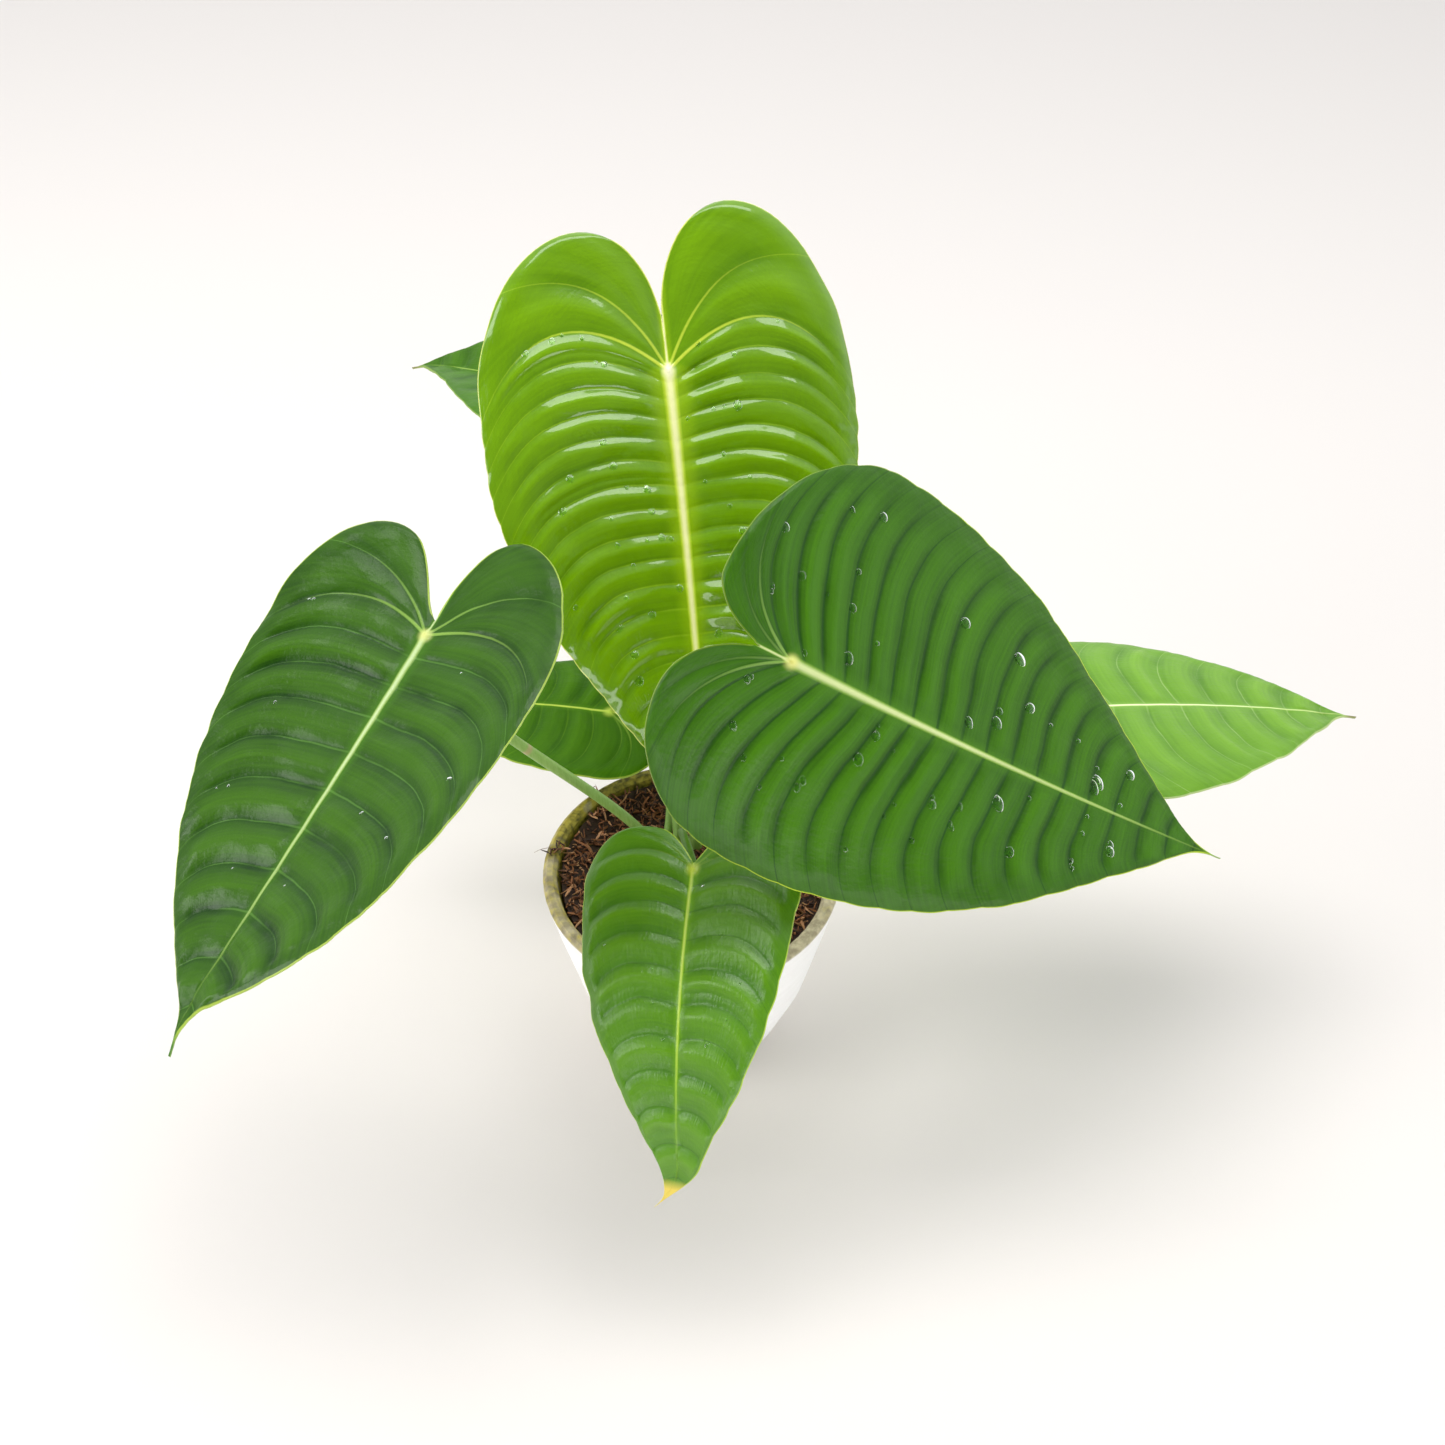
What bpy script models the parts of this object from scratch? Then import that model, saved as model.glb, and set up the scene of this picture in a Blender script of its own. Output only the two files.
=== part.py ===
"""King anthurium in a round white pot: seven pleated leaves on thin stalks.

Metres, +Z up, origin in the middle of the pot's foot, +X to the right of the front view.
Each leaf blade is laid out flat in units of its own length, pleated along its side veins,
bent, and then set on its stalk. The stalks stand in plain holes in the potting mix.
"""
import math

import bmesh
import bpy
from mathutils import Vector
from mathutils.geometry import interpolate_bezier

NAME = "king_anthurium"
MM = 0.001
GAP = 0.0003

# Pot: radius and height of its outer side, from the rim down to the foot.
POT_SIDE = [(0.0748, 0.118), (0.0690, 0.090), (0.0600, 0.050), (0.0490, 0.020), (0.0400, 0.006)]
POT_HEIGHT = 0.120
FOOT_RADIUS = 0.034
WALL = 0.007
BASE_THICKNESS = 0.008
RIM_ROUND = 0.002
POT_STEPS = 64

# Potting mix: its top is below the rim, rough with husk.
MIX_TOP = 0.108
MIX_ROUGHNESS = 0.0016
MIX_RINGS = 9
MIX_STEPS = 48
HOLE_DEPTH = 0.012
HOLE_CLEARANCE = 0.0004

# Crown: the short stem in the middle, with the stalks in a ring round it.
CROWN = Vector((-0.005, 0.010, 0.0))
CROWN_RADIUS = 0.0062
CROWN_HEIGHT = 0.017
STALK_RING = 0.0135

# Leaf blades.
THICKNESS = 0.0008
STALK_END_GAP = 0.0005
ACROSS = [0.0, 0.16, 0.38, 0.64, 0.90, 1.0]
PLEAT_FULL = 0.24
FAN_PLEAT_FULL = 0.5
NOTCH_POINTS = 30
RIB_SPREAD = 1.2
FAN_ROWS = 4
RIB_ROWS = 2
PLEAT_END = 0.91
DRIP_TIP = 0.10
DRIP_WIDTH = 0.032

# Values that a leaf has unless its own entry says otherwise. Lengths along and across the
# blade are parts of its length, angles are in degrees, base is in millimetres.
USUAL = dict(
    notch=0.03, notch_angle=30, lobe=0.26, lobe_out=0.55, widest=0.02, half_width=0.34,
    tip_angle=34, droop=0.3, tail=-0.3, rise=10, curl=1.0, twist=0.0, sway=0.0, hook=0.0,
    rise_bias=0.0, lobe_bias=0.0, widest_bias=0.0, width_bias=0.0, notch_bias=0.0,
    lobe_out_bias=0.0, tip_bias=0.0, fan_end=0.0, fan_bow=0.38,
    rib_bow=(0.22, 0.32),
    fan_pleats=3, pleat=2.4, ripple=0.8, waves=5.0,
)

# base: where the blade meets its stalk. heading: compass direction of the midrib from +X.
# dip: how far the midrib points down. roll: tilt about the midrib. pleats: folds a side.
LEAVES = {
    "back": dict(
        base=(-9.5, 107.5, 342.5), length=226, heading=-80, dip=50.5, roll=0,
        half_width=0.39, lobe=0.31, lobe_out=0.39, notch=0.094, notch_angle=1, widest=0.086,
        fan_end=0.066, tip_angle=33, droop=0.2, tail=-0.28, rise=10.5, curl=0.8, sway=-0.012,
        lobe_bias=0.06, notch_bias=-3.5, width_bias=-0.014, fan_bow=0.43,
        pleats=15, pleat=3.0, ripple=0.5),
    "left": dict(
        base=(-111, -25.5, 297), length=201, heading=-119.5, dip=21.5, roll=6,
        half_width=0.366, lobe=0.242, lobe_out=0.414, notch=0.038, notch_angle=23,
        widest=0.104, tip_angle=50.5, droop=0.01, tail=-0.74, rise=5.5, rise_bias=-0.5,
        curl=-0.36, twist=0.22, sway=-0.017, hook=0.027, lobe_bias=0.1, widest_bias=0.05,
        notch_bias=-28, lobe_out_bias=-0.107, tip_bias=5.5, fan_end=0.09, fan_bow=0.3,
        rib_bow=(0.12, 0.34), pleats=11, pleat=2.8, ripple=1.0),
    "front_right": dict(
        base=(43.5, -60, 313.5), length=226, heading=-2, dip=32.5, roll=46,
        half_width=0.399, lobe=0.195, lobe_out=0.30, notch=0.066, notch_angle=15,
        widest=0.089, tip_angle=36, droop=-0.04, tail=0.02, rise=0, rise_bias=3.8,
        curl=0.72, twist=-0.37, sway=0.033, width_bias=0.04, lobe_bias=-0.03,
        lobe_out_bias=-0.055, fan_end=-0.08, fan_bow=0.3, rib_bow=(0.10, 0.30),
        pleats=15, pleat=2.6),
    "front_low": dict(
        base=(2.5, -74.5, 203), length=156, heading=-98, dip=22, roll=8,
        half_width=0.327, lobe=0.13, lobe_out=0.49, notch=0.017, notch_angle=37, widest=0.0,
        tip_angle=27, droop=0.86, tail=-0.27, rise=7, rise_bias=7, curl=0.81, twist=0.07,
        hook=-0.076, widest_bias=-0.044, width_bias=-0.018, fan_bow=0.24, pleats=9, pleat=2.6,
        ripple=1.4, waves=7.0),
    "right": dict(
        base=(159.5, 10.5, 219), length=184, heading=13.5, dip=7, roll=-3,
        tip_angle=36, droop=0.23, rise=7, curl=1.24, pleats=10, pleat=2.2),
    "rear_left": dict(
        base=(-36.5, 189, 261.5), length=165, heading=142, dip=2.5, roll=-9,
        tip_angle=22, droop=0.34, rise=27, curl=1.06, hook=0.024, pleats=9, pleat=2.2),
    "low_left": dict(
        base=(-43.5, 80.5, 151), length=121, heading=166, dip=1.5, roll=-5,
        tip_angle=34, droop=0.38, rise=5, curl=1.13, widest=0.0, pleats=8, pleat=2.0),
}

# Stalks: compass direction of the foot in the ring, thickness, the way the stalk leaves the
# mix and the way it comes up under the blade, in millimetres.
STALKS = {
    "back": dict(ring=60, thick=5.4, leaves=(0, 20, 90), arrives=(-5, 15, 80)),
    "left": dict(ring=170, thick=5.0, leaves=(3, -1, 41), arrives=(6, -1, 48)),
    "front_right": dict(ring=-32, thick=5.4, leaves=(26, -14, 70), arrives=(20, -20, 65)),
    "front_low": dict(ring=-86, thick=4.2, leaves=(-1, -5, 54), arrives=(9, -37, 1)),
    "right": dict(ring=18, thick=4.8, leaves=(25, 0, 60), arrives=(35, 0, 30)),
    "rear_left": dict(ring=98, thick=4.6, leaves=(-5, 40, 70), arrives=(-5, 40, 40)),
    "low_left": dict(ring=133, thick=3.8, leaves=(8, 34, 22), arrives=(-24, -6, 13)),
}
STALK_SEGMENTS = 16
KNEE_LENGTH = 0.012
KNEE_SWELL = 1.22
FOOT_SWELL = 1.25


def clear_scene():
    for thing in list(bpy.data.objects):
        bpy.data.objects.remove(thing, do_unlink=True)


def new_collection(name):
    made = bpy.data.collections.new(name)
    bpy.context.scene.collection.children.link(made)
    return made


def material(name, color, roughness):
    made = bpy.data.materials.new(name)
    made.use_nodes = True
    shader = made.node_tree.nodes["Principled BSDF"]
    shader.inputs["Base Color"].default_value = (*color, 1.0)
    shader.inputs["Roughness"].default_value = roughness
    shader.inputs["Metallic"].default_value = 0.0
    return made


def add_object(name, mesh, home, surface=None):
    made = bpy.data.objects.new(name, mesh)
    home.objects.link(made)
    if surface:
        mesh.materials.clear()
        mesh.materials.append(surface)
    return made


def applied_mesh(thing):
    """The mesh of an object with its modifiers or its curve worked out."""
    graph = bpy.context.evaluated_depsgraph_get()
    graph.update()
    return bpy.data.meshes.new_from_object(thing.evaluated_get(graph))


def smooth(mesh, angle):
    mesh.shade_smooth()
    mesh.set_sharp_from_angle(angle=math.radians(angle))


def turned(name, profile, steps, home, surface=None):
    """A profile of (radius, height) points, top to bottom, turned about Z."""
    mesh = bpy.data.meshes.new(name)
    shape = bmesh.new()
    points = [shape.verts.new((radius, 0.0, height)) for radius, height in profile]
    for first, second in zip(points, points[1:]):
        shape.edges.new((first, second))
    shape.to_mesh(mesh)
    shape.free()
    made = add_object(name, mesh, home, surface)
    screw = made.modifiers.new("turn", "SCREW")
    screw.axis = "Z"
    screw.angle = math.tau
    screw.steps = steps
    screw.render_steps = steps
    screw.use_merge_vertices = True
    screw.merge_threshold = 0.00005
    screw.use_smooth_shade = True
    return made


def inner_radius(height):
    """Radius of the pot's inside at a height, from the line of its outer side."""
    for (upper_r, upper_z), (lower_r, lower_z) in zip(POT_SIDE, POT_SIDE[1:]):
        if height >= lower_z:
            share = (height - lower_z) / (upper_z - lower_z)
            return lower_r + share * (upper_r - lower_r) - WALL
    return POT_SIDE[-1][0] - WALL


def pot_profile():
    rim_middle = POT_SIDE[0][0] - WALL / 2
    half_flat = WALL / 2 - RIM_ROUND
    rim = [(rim_middle - half_flat, POT_HEIGHT), (rim_middle + half_flat, POT_HEIGHT)]
    foot = [(FOOT_RADIUS + 0.003, 0.0012), (FOOT_RADIUS, 0.0), (0.0, 0.0)]
    inside = [(0.0, BASE_THICKNESS)]
    for height in (BASE_THICKNESS, 0.020, 0.050, 0.090, POT_SIDE[0][1]):
        inside.append((inner_radius(height), height))
    return [rim[1]] + POT_SIDE + foot + inside + [rim[0], rim[1]]


def hash_noise(row, column):
    """A repeatable value from -1 to 1 for a pair of whole numbers."""
    value = math.sin(row * 12.9898 + column * 78.233) * 43758.5453
    return 2.0 * (value - math.floor(value)) - 1.0


def build_mix(home, cutters, surface):
    """Potting mix that fills the pot, with a rough top and a hole for every stem."""
    bottom = BASE_THICKNESS + GAP
    side = [(inner_radius(h) - GAP * 1.3, h) for h in (MIX_TOP - 0.002, 0.090, 0.050, 0.020)]
    outer = side[0][0]
    top = [(outer * ring / MIX_RINGS, MIX_TOP) for ring in range(MIX_RINGS)]
    foot = [(inner_radius(bottom) - GAP * 1.3, bottom), (0.0, bottom)]
    blank = turned("mix_blank", top + side + foot, MIX_STEPS, cutters)
    mesh = applied_mesh(blank)
    bpy.data.objects.remove(blank, do_unlink=True)
    shape = bmesh.new()
    shape.from_mesh(mesh)
    bmesh.ops.triangulate(shape, faces=shape.faces[:])
    for index, point in enumerate(shape.verts):
        radius = point.co.xy.length
        if point.co.z > MIX_TOP - 0.001 and radius < outer * 0.95:
            point.co.z += MIX_ROUGHNESS * hash_noise(index, 3)
    shape.to_mesh(mesh)
    shape.free()
    mesh.name = "potting_mix"
    made = add_object("potting_mix", mesh, home, surface)
    spots = [(CROWN, CROWN_RADIUS)]
    spots += [(stalk_foot(key), STALKS[key]["thick"] * FOOT_SWELL * MM / 2) for key in STALKS]
    for number, (spot, radius) in enumerate(spots):
        cutter = cylinder(f"stem_hole_{number}", spot, radius + HOLE_CLEARANCE, cutters)
        cut = made.modifiers.new(cutter.name, "BOOLEAN")
        cut.operation = "DIFFERENCE"
        cut.object = cutter
    return made


def cylinder(name, spot, radius, home):
    """An upright cutter for a stem hole, from the hole's floor to clear of the mix."""
    tall = HOLE_DEPTH + 0.02
    mesh = bpy.data.meshes.new(name)
    shape = bmesh.new()
    bmesh.ops.create_cone(shape, cap_ends=True, segments=16, radius1=radius, radius2=radius,
                          depth=tall)
    shape.to_mesh(mesh)
    shape.free()
    made = add_object(name, mesh, home)
    made.location = (spot.x, spot.y, MIX_TOP - HOLE_DEPTH + tall / 2)
    made.hide_render = True
    made.display_type = "WIRE"
    return made


def build_crown(home, surface):
    """Short knobbly stem that stands in the middle hole of the mix."""
    foot = MIX_TOP - HOLE_DEPTH + GAP
    top = MIX_TOP + CROWN_HEIGHT
    full = CROWN_RADIUS
    profile = [
        (0.0, top), (full * 0.45, top - 0.0006), (full * 0.78, top - 0.003),
        (full * 0.88, top - 0.007), (full * 0.80, top - 0.009), (full * 0.98, top - 0.013),
        (full * 0.90, top - 0.0155), (full, MIX_TOP - 0.002), (full, foot), (0.0, foot)]
    made = turned("crown", profile, 20, home, surface)
    made.location = (CROWN.x, CROWN.y, 0.0)
    return made


def stalk_foot(key):
    """Middle of a stalk where it stands in the mix, at the bottom of its hole."""
    turn = math.radians(STALKS[key]["ring"])
    ring = Vector((math.cos(turn), math.sin(turn), 0.0)) * STALK_RING
    return CROWN + ring + Vector((0.0, 0.0, MIX_TOP - HOLE_DEPTH + GAP))


def leaf_values(key):
    return {**USUAL, **LEAVES[key]}


def one_side(leaf, side):
    """The leaf's values for its left (-1) or right (+1) half."""
    half = dict(leaf)
    half["half_width"] = leaf["half_width"] * (1 + side * leaf["width_bias"])
    half["lobe"] = leaf["lobe"] * (1 + side * leaf["lobe_bias"])
    half["widest"] = leaf["widest"] + side * leaf["widest_bias"]
    half["lobe_out"] = leaf["lobe_out"] + side * leaf["lobe_out_bias"]
    half["notch_angle"] = leaf["notch_angle"] + side * leaf["notch_bias"]
    half["tip_angle"] = leaf["tip_angle"] + side * leaf["tip_bias"]
    return half


def half_outline(half):
    """Flat outline of half a blade from the notch to the tip, in parts of its length."""
    width, lobe, widest = half["half_width"], half["lobe"], half["widest"]
    notch, out = half["notch"], half["lobe_out"] * half["half_width"]
    lean, slope = math.radians(half["notch_angle"]), math.radians(half["tip_angle"])
    start = Vector((-notch, 0.0))
    rear = Vector((-lobe, out))
    broad = Vector((widest, width))
    neck = Vector((1.0 - DRIP_TIP, DRIP_WIDTH))
    tip = Vector((1.0, 0.0))
    away = Vector((-math.cos(lean), math.sin(lean))) * 0.55 * (lobe - notch)
    back = Vector((-math.cos(slope), math.sin(slope)))
    reach = 1.0 - DRIP_TIP - widest
    pull = min(0.45 * DRIP_TIP, 0.7 * DRIP_WIDTH / math.sin(slope))
    pieces = [
        (start, start + away, rear - Vector((0.0, 0.55 * out)), rear),
        (rear, rear + Vector((0.0, 0.55 * (width - out))),
         broad - Vector((0.55 * (widest + lobe), 0.0)), broad),
        (broad, broad + Vector((0.45 * reach, 0.0)), neck + back * 0.42 * reach, neck),
        (neck, neck - back * pull, tip - Vector((0.45 * DRIP_TIP, 0.0)), tip),
    ]
    points = [start]
    for piece in pieces:
        points += [p.to_2d() for p in interpolate_bezier(*piece, 40)[1:]]
    return points


def along_line(points, shares):
    """Points of a line at the given shares of its length."""
    lengths = [0.0]
    for first, second in zip(points, points[1:]):
        lengths.append(lengths[-1] + (second - first).length)
    found = []
    index = 0
    for share in shares:
        target = lengths[-1] * min(1.0, share)
        while index < len(points) - 2 and lengths[index + 1] < target:
            index += 1
        part = (target - lengths[index]) / (lengths[index + 1] - lengths[index])
        found.append(points[index].lerp(points[index + 1], min(1.0, part)))
    return found


def fan_shares(points, fan_end):
    """Shares of the outline where the fan's first vein and its last one reach the margin."""
    lengths = [0.0]
    last = None
    for first, second in zip(points, points[1:]):
        lengths.append(lengths[-1] + (second - first).length)
        if last is None and second.x > fan_end and second.x > first.x:
            last = lengths[-1]
    return lengths[NOTCH_POINTS] / lengths[-1], last / lengths[-1]


def vein_rows(leaf):
    """The grid's rows, from the notch to the tip: (fan or rib, how far through it)."""
    fan_rows = FAN_ROWS * leaf["fan_pleats"]
    rib_rows = RIB_ROWS * leaf["pleats"]
    rows = [("fan", step / fan_rows) for step in range(fan_rows)]
    return rows + [("rib", step / rib_rows) for step in range(rib_rows + 1)]


def between(start, first, second, end, q):
    """A point on a Bezier curve."""
    p = 1.0 - q
    return start * p ** 3 + first * 3 * p * p * q + second * 3 * p * q * q + end * q ** 3


def notch_edge(leaf, points, q):
    """A point on the blade's edge: along the midrib's tail first and then round the notch."""
    corner = ACROSS[1] if leaf["notch"] < 0.05 else ACROSS[2]
    if q <= corner:
        return Vector((-leaf["notch"] * q / corner, 0.0))
    return along_line(points[:NOTCH_POINTS + 1], [(q - corner) / (1.0 - corner)])[0]


def turn_from_back(step):
    """Angle of a step, 0 when it points back along the midrib and pi towards the tip."""
    return math.atan2(step.y, -step.x)


def fan_turns(leaf, points, last_end):
    """Angles at which the fan's first and last veins leave the stalk and meet the margin."""
    swing = math.atan(3.0 * leaf["fan_bow"])
    first = (turn_from_back(notch_edge(leaf, points, 0.4)),
             turn_from_back(points[NOTCH_POINTS] - points[NOTCH_POINTS - 2]))
    last = (turn_from_back(last_end) - swing, turn_from_back(last_end) + swing)
    return first, last


def fan_vein(turns, share, end, bow, q):
    """A point on a vein of the fan, whose two angles change evenly through the fan."""
    leave, meet = [old + (new - old) * share for old, new in zip(*turns)]
    reach = end.length * (0.36 + (math.hypot(1 / 3, bow) - 0.36) * share)
    first = Vector((-math.cos(leave), math.sin(leave))) * reach
    second = end - Vector((-math.cos(meet), math.sin(meet))) * reach
    return between(Vector((0.0, 0.0)), first, second, end, q)


def vein_point(leaf, points, turns, kind, share, end, q):
    """A point on a side vein, q = 0 at the midrib and 1 at the margin."""
    if kind == "fan":
        drawn = fan_vein(turns, share, end, leaf["fan_bow"], q)
        edge = fan_vein(turns, 0.0, points[NOTCH_POINTS], leaf["fan_bow"], q)
        place = drawn + (notch_edge(leaf, points, q) - edge) * (1.0 - share) ** 3
        if 0.0 < share and q < 1.0:
            place.y = max(place.y, 0.1 * share * q)
        return place
    start = Vector((share ** RIB_SPREAD, 0.0))
    fade = math.exp(-share / 0.08)
    slack = min(1.0, (1.0 - share) / 0.25)
    near, far = [(bow + (leaf["fan_bow"] - bow) * fade) * slack for bow in leaf["rib_bow"]]
    run = end - start
    back = Vector((-run.y, run.x))
    first = start + run / 3 + back * near
    second = start + run * 2 / 3 + back * far
    return between(start, first, second, end, q)


def fold_strength(leaf, kind, share, q):
    """How much of the pleat's height is there: none at the midrib, margin and tip."""
    fall = min(1.0, max(0.0, (PLEAT_END - q) / 0.16))
    if kind == "rib":
        return min(1.0, q / PLEAT_FULL) * fall * min(1.0, (1.0 - share) / 0.12)
    lobe_size = min(1.0, leaf["lobe"] / USUAL["lobe"])
    return min(1.0, q / FAN_PLEAT_FULL) ** 1.5 * fall * min(1.0, share / 0.15) * lobe_size


def leaf_frame(leaf):
    """Directions of the midrib, of the right half and of the upper face at the base."""
    turn, dip, roll = (math.radians(leaf[name]) for name in ("heading", "dip", "roll"))
    along = Vector((math.cos(dip) * math.cos(turn), math.cos(dip) * math.sin(turn),
                    -math.sin(dip)))
    level = Vector((-math.sin(turn), math.cos(turn), 0.0))
    across = math.cos(roll) * level + math.sin(roll) * along.cross(level)
    return along, across, along.cross(across)


def bent(leaf, side, flat, height, sink=0.0):
    """Bend a flat point of the blade: droop along it, curl across it, twist and sway.

    The lower face sinks straight down from the upper one, so the two never cross.
    """
    x, y = flat
    bend = leaf["droop"] if x > 0 else leaf["tail"]
    turn = bend * x
    reach = math.sin(turn) / bend
    drop = (1 - math.cos(turn)) / bend
    begin = math.radians(leaf["rise"] + side * leaf["rise_bias"])
    here = begin - leaf["curl"] * y
    out = (math.sin(begin) - math.sin(here)) / leaf["curl"] - height * math.sin(here)
    up = (math.cos(here) - math.cos(begin)) / leaf["curl"] + height * math.cos(here) - sink
    spin = leaf["twist"] * x
    aside = side * out * math.cos(spin) - up * math.sin(spin)
    lift = side * out * math.sin(spin) + up * math.cos(spin)
    aside += leaf["sway"] * x * x + leaf["hook"] * max(0.0, (x - 0.85) / 0.15) ** 2
    return Vector((reach + math.sin(turn) * lift, aside, math.cos(turn) * lift - drop))


def blade_half(shape, leaf, side, lower):
    """Add one half of a blade to a bmesh as a grid whose rows follow the side veins.

    The layer called lower keeps the way from each point to the one below it.
    """
    rows = vein_rows(leaf)
    outline = half_outline(one_side(leaf, side))
    edge, fan = fan_shares(outline, leaf["fan_end"])
    reach = [edge + (fan - edge) * share if kind == "fan" else fan + (1.0 - fan) * share
             for kind, share in rows]
    margin = along_line(outline, reach)
    turns = fan_turns(leaf, outline, along_line(outline, [fan])[0])
    columns = len(ACROSS) - 1
    grid = bmesh.ops.create_grid(shape, x_segments=len(rows) - 1, y_segments=columns, size=1.0)
    length = leaf["length"] * MM
    along, across, upper = leaf_frame(leaf)
    base = Vector(leaf["base"]) * MM
    for point in grid["verts"]:
        row = round((point.co.x + 1.0) / 2.0 * (len(rows) - 1))
        q = ACROSS[round((point.co.y + 1.0) / 2.0 * columns)]
        kind, share = rows[row]
        flat = vein_point(leaf, outline, turns, kind, share, margin[row], q)
        folds = share * leaf["fan_pleats" if kind == "fan" else "pleats"]
        fold = -0.5 * math.cos(math.tau * folds) * fold_strength(leaf, kind, share, q)
        wave = math.sin(math.tau * leaf["waves"] * reach[row] + side)
        wave *= q ** 3 * min(1.0, abs(flat.y) / 0.03) * (1.0 - reach[row])
        height = (leaf["pleat"] * fold + leaf["ripple"] * wave) * MM / length
        places = []
        for sink in (0.0, THICKNESS / length):
            local = bent(leaf, side, flat, height, sink) * length
            places.append(base + along * local.x + across * local.y + upper * local.z)
        point.co = places[0]
        point[lower] = places[1] - places[0]


def build_blade(key, home, surface):
    leaf = leaf_values(key)
    shape = bmesh.new()
    lower = shape.verts.layers.float_vector.new("lower")
    for side in (-1, 1):
        blade_half(shape, leaf, side, lower)
    bmesh.ops.remove_doubles(shape, verts=shape.verts[:], dist=0.00002)
    bmesh.ops.dissolve_degenerate(shape, edges=shape.edges[:], dist=0.00002)
    bmesh.ops.recalc_face_normals(shape, faces=shape.faces[:])
    upper = leaf_frame(leaf)[2]
    if sum(face.normal.dot(upper) * face.calc_area() for face in shape.faces) < 0:
        bmesh.ops.reverse_faces(shape, faces=shape.faces[:])
    bmesh.ops.triangulate(shape, faces=shape.faces[:])
    thick = bmesh.ops.extrude_face_region(shape, geom=shape.faces[:], use_keep_orig=True)
    for point in thick["geom"]:
        if isinstance(point, bmesh.types.BMVert):
            point.co += point[lower]
    bmesh.ops.recalc_face_normals(shape, faces=shape.faces[:])
    name = f"leaf_blade_{key}"
    mesh = bpy.data.meshes.new(name)
    shape.to_mesh(mesh)
    shape.free()
    smooth(mesh, 60)
    return add_object(name, mesh, home, surface)


def stalk_line(key):
    """Points of a stalk from the bottom of its hole to just below the blade."""
    stalk, leaf = STALKS[key], leaf_values(key)
    foot = stalk_foot(key)
    ground = Vector((foot.x, foot.y, MIX_TOP + 0.003))
    upper = leaf_frame(leaf)[2]
    end = Vector(leaf["base"]) * MM - upper * (THICKNESS + STALK_END_GAP)
    knee = end - upper * KNEE_LENGTH * 0.45
    handles = (ground + Vector(stalk["leaves"]) * MM, knee - Vector(stalk["arrives"]) * MM)
    curve = interpolate_bezier(ground, handles[0], handles[1], knee, STALK_SEGMENTS - 1)
    return [foot] + list(curve) + [end]


def build_stalk(key, home, surface):
    """A round stalk, thicker at its foot and at the knee under the blade."""
    name = f"leaf_stalk_{key}"
    line = stalk_line(key)
    curve = bpy.data.curves.new(name, "CURVE")
    curve.dimensions = "3D"
    curve.bevel_depth = STALKS[key]["thick"] * MM / 2
    curve.bevel_resolution = 2
    curve.use_fill_caps = True
    spline = curve.splines.new("POLY")
    spline.points.add(len(line) - 1)
    last = len(line) - 1
    for index, (point, place) in enumerate(zip(spline.points, line)):
        point.co = (*place, 1.0)
        share = index / last
        point.radius = 1.0 + (FOOT_SWELL - 1.0) * max(0.0, 1.0 - share * 4.0)
        if index >= last - 1:
            point.radius = KNEE_SWELL
    spline.points[1].radius = FOOT_SWELL
    draft = bpy.data.objects.new(name + "_draft", curve)
    home.objects.link(draft)
    mesh = applied_mesh(draft)
    bpy.data.objects.remove(draft, do_unlink=True)
    shape = bmesh.new()
    shape.from_mesh(mesh)
    bmesh.ops.remove_doubles(shape, verts=shape.verts[:], dist=0.00001)
    shape.to_mesh(mesh)
    shape.free()
    smooth(mesh, 50)
    mesh.name = name
    return add_object(name, mesh, home, surface)


def main():
    clear_scene()
    home = new_collection(NAME)
    cutters = new_collection("cutters")
    white = material("white glazed clay", (0.80, 0.79, 0.76), 0.45)
    husk = material("coco husk", (0.10, 0.045, 0.025), 0.9)
    bark = material("crown bark", (0.16, 0.12, 0.05), 0.8)
    stalk_green = material("stalk green", (0.25, 0.42, 0.16), 0.5)
    dark_leaf = material("dark leaf", (0.05, 0.20, 0.02), 0.3)
    young_leaf = material("young leaf", (0.22, 0.45, 0.01), 0.28)
    turned("pot", pot_profile(), POT_STEPS, home, white)
    build_mix(home, cutters, husk)
    build_crown(home, bark)
    for key in LEAVES:
        build_blade(key, home, young_leaf if key == "back" else dark_leaf)
        build_stalk(key, home, stalk_green)


main()
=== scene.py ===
# %% [markdown]
# A king anthurium in a round white pot.
#
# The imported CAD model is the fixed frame: pot, potting mix, crown, seven stalks and seven
# pleated leaf blades. This script dresses it. It replaces the blades and stalks with finer
# ones of the same form, strews husk chips over the mix, and adds water drops and finishes.

# %% The frame and its box
import math
import random

import bmesh
import bpy
from mathutils import Matrix, Vector, noise
from mathutils.geometry import interpolate_bezier


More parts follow.
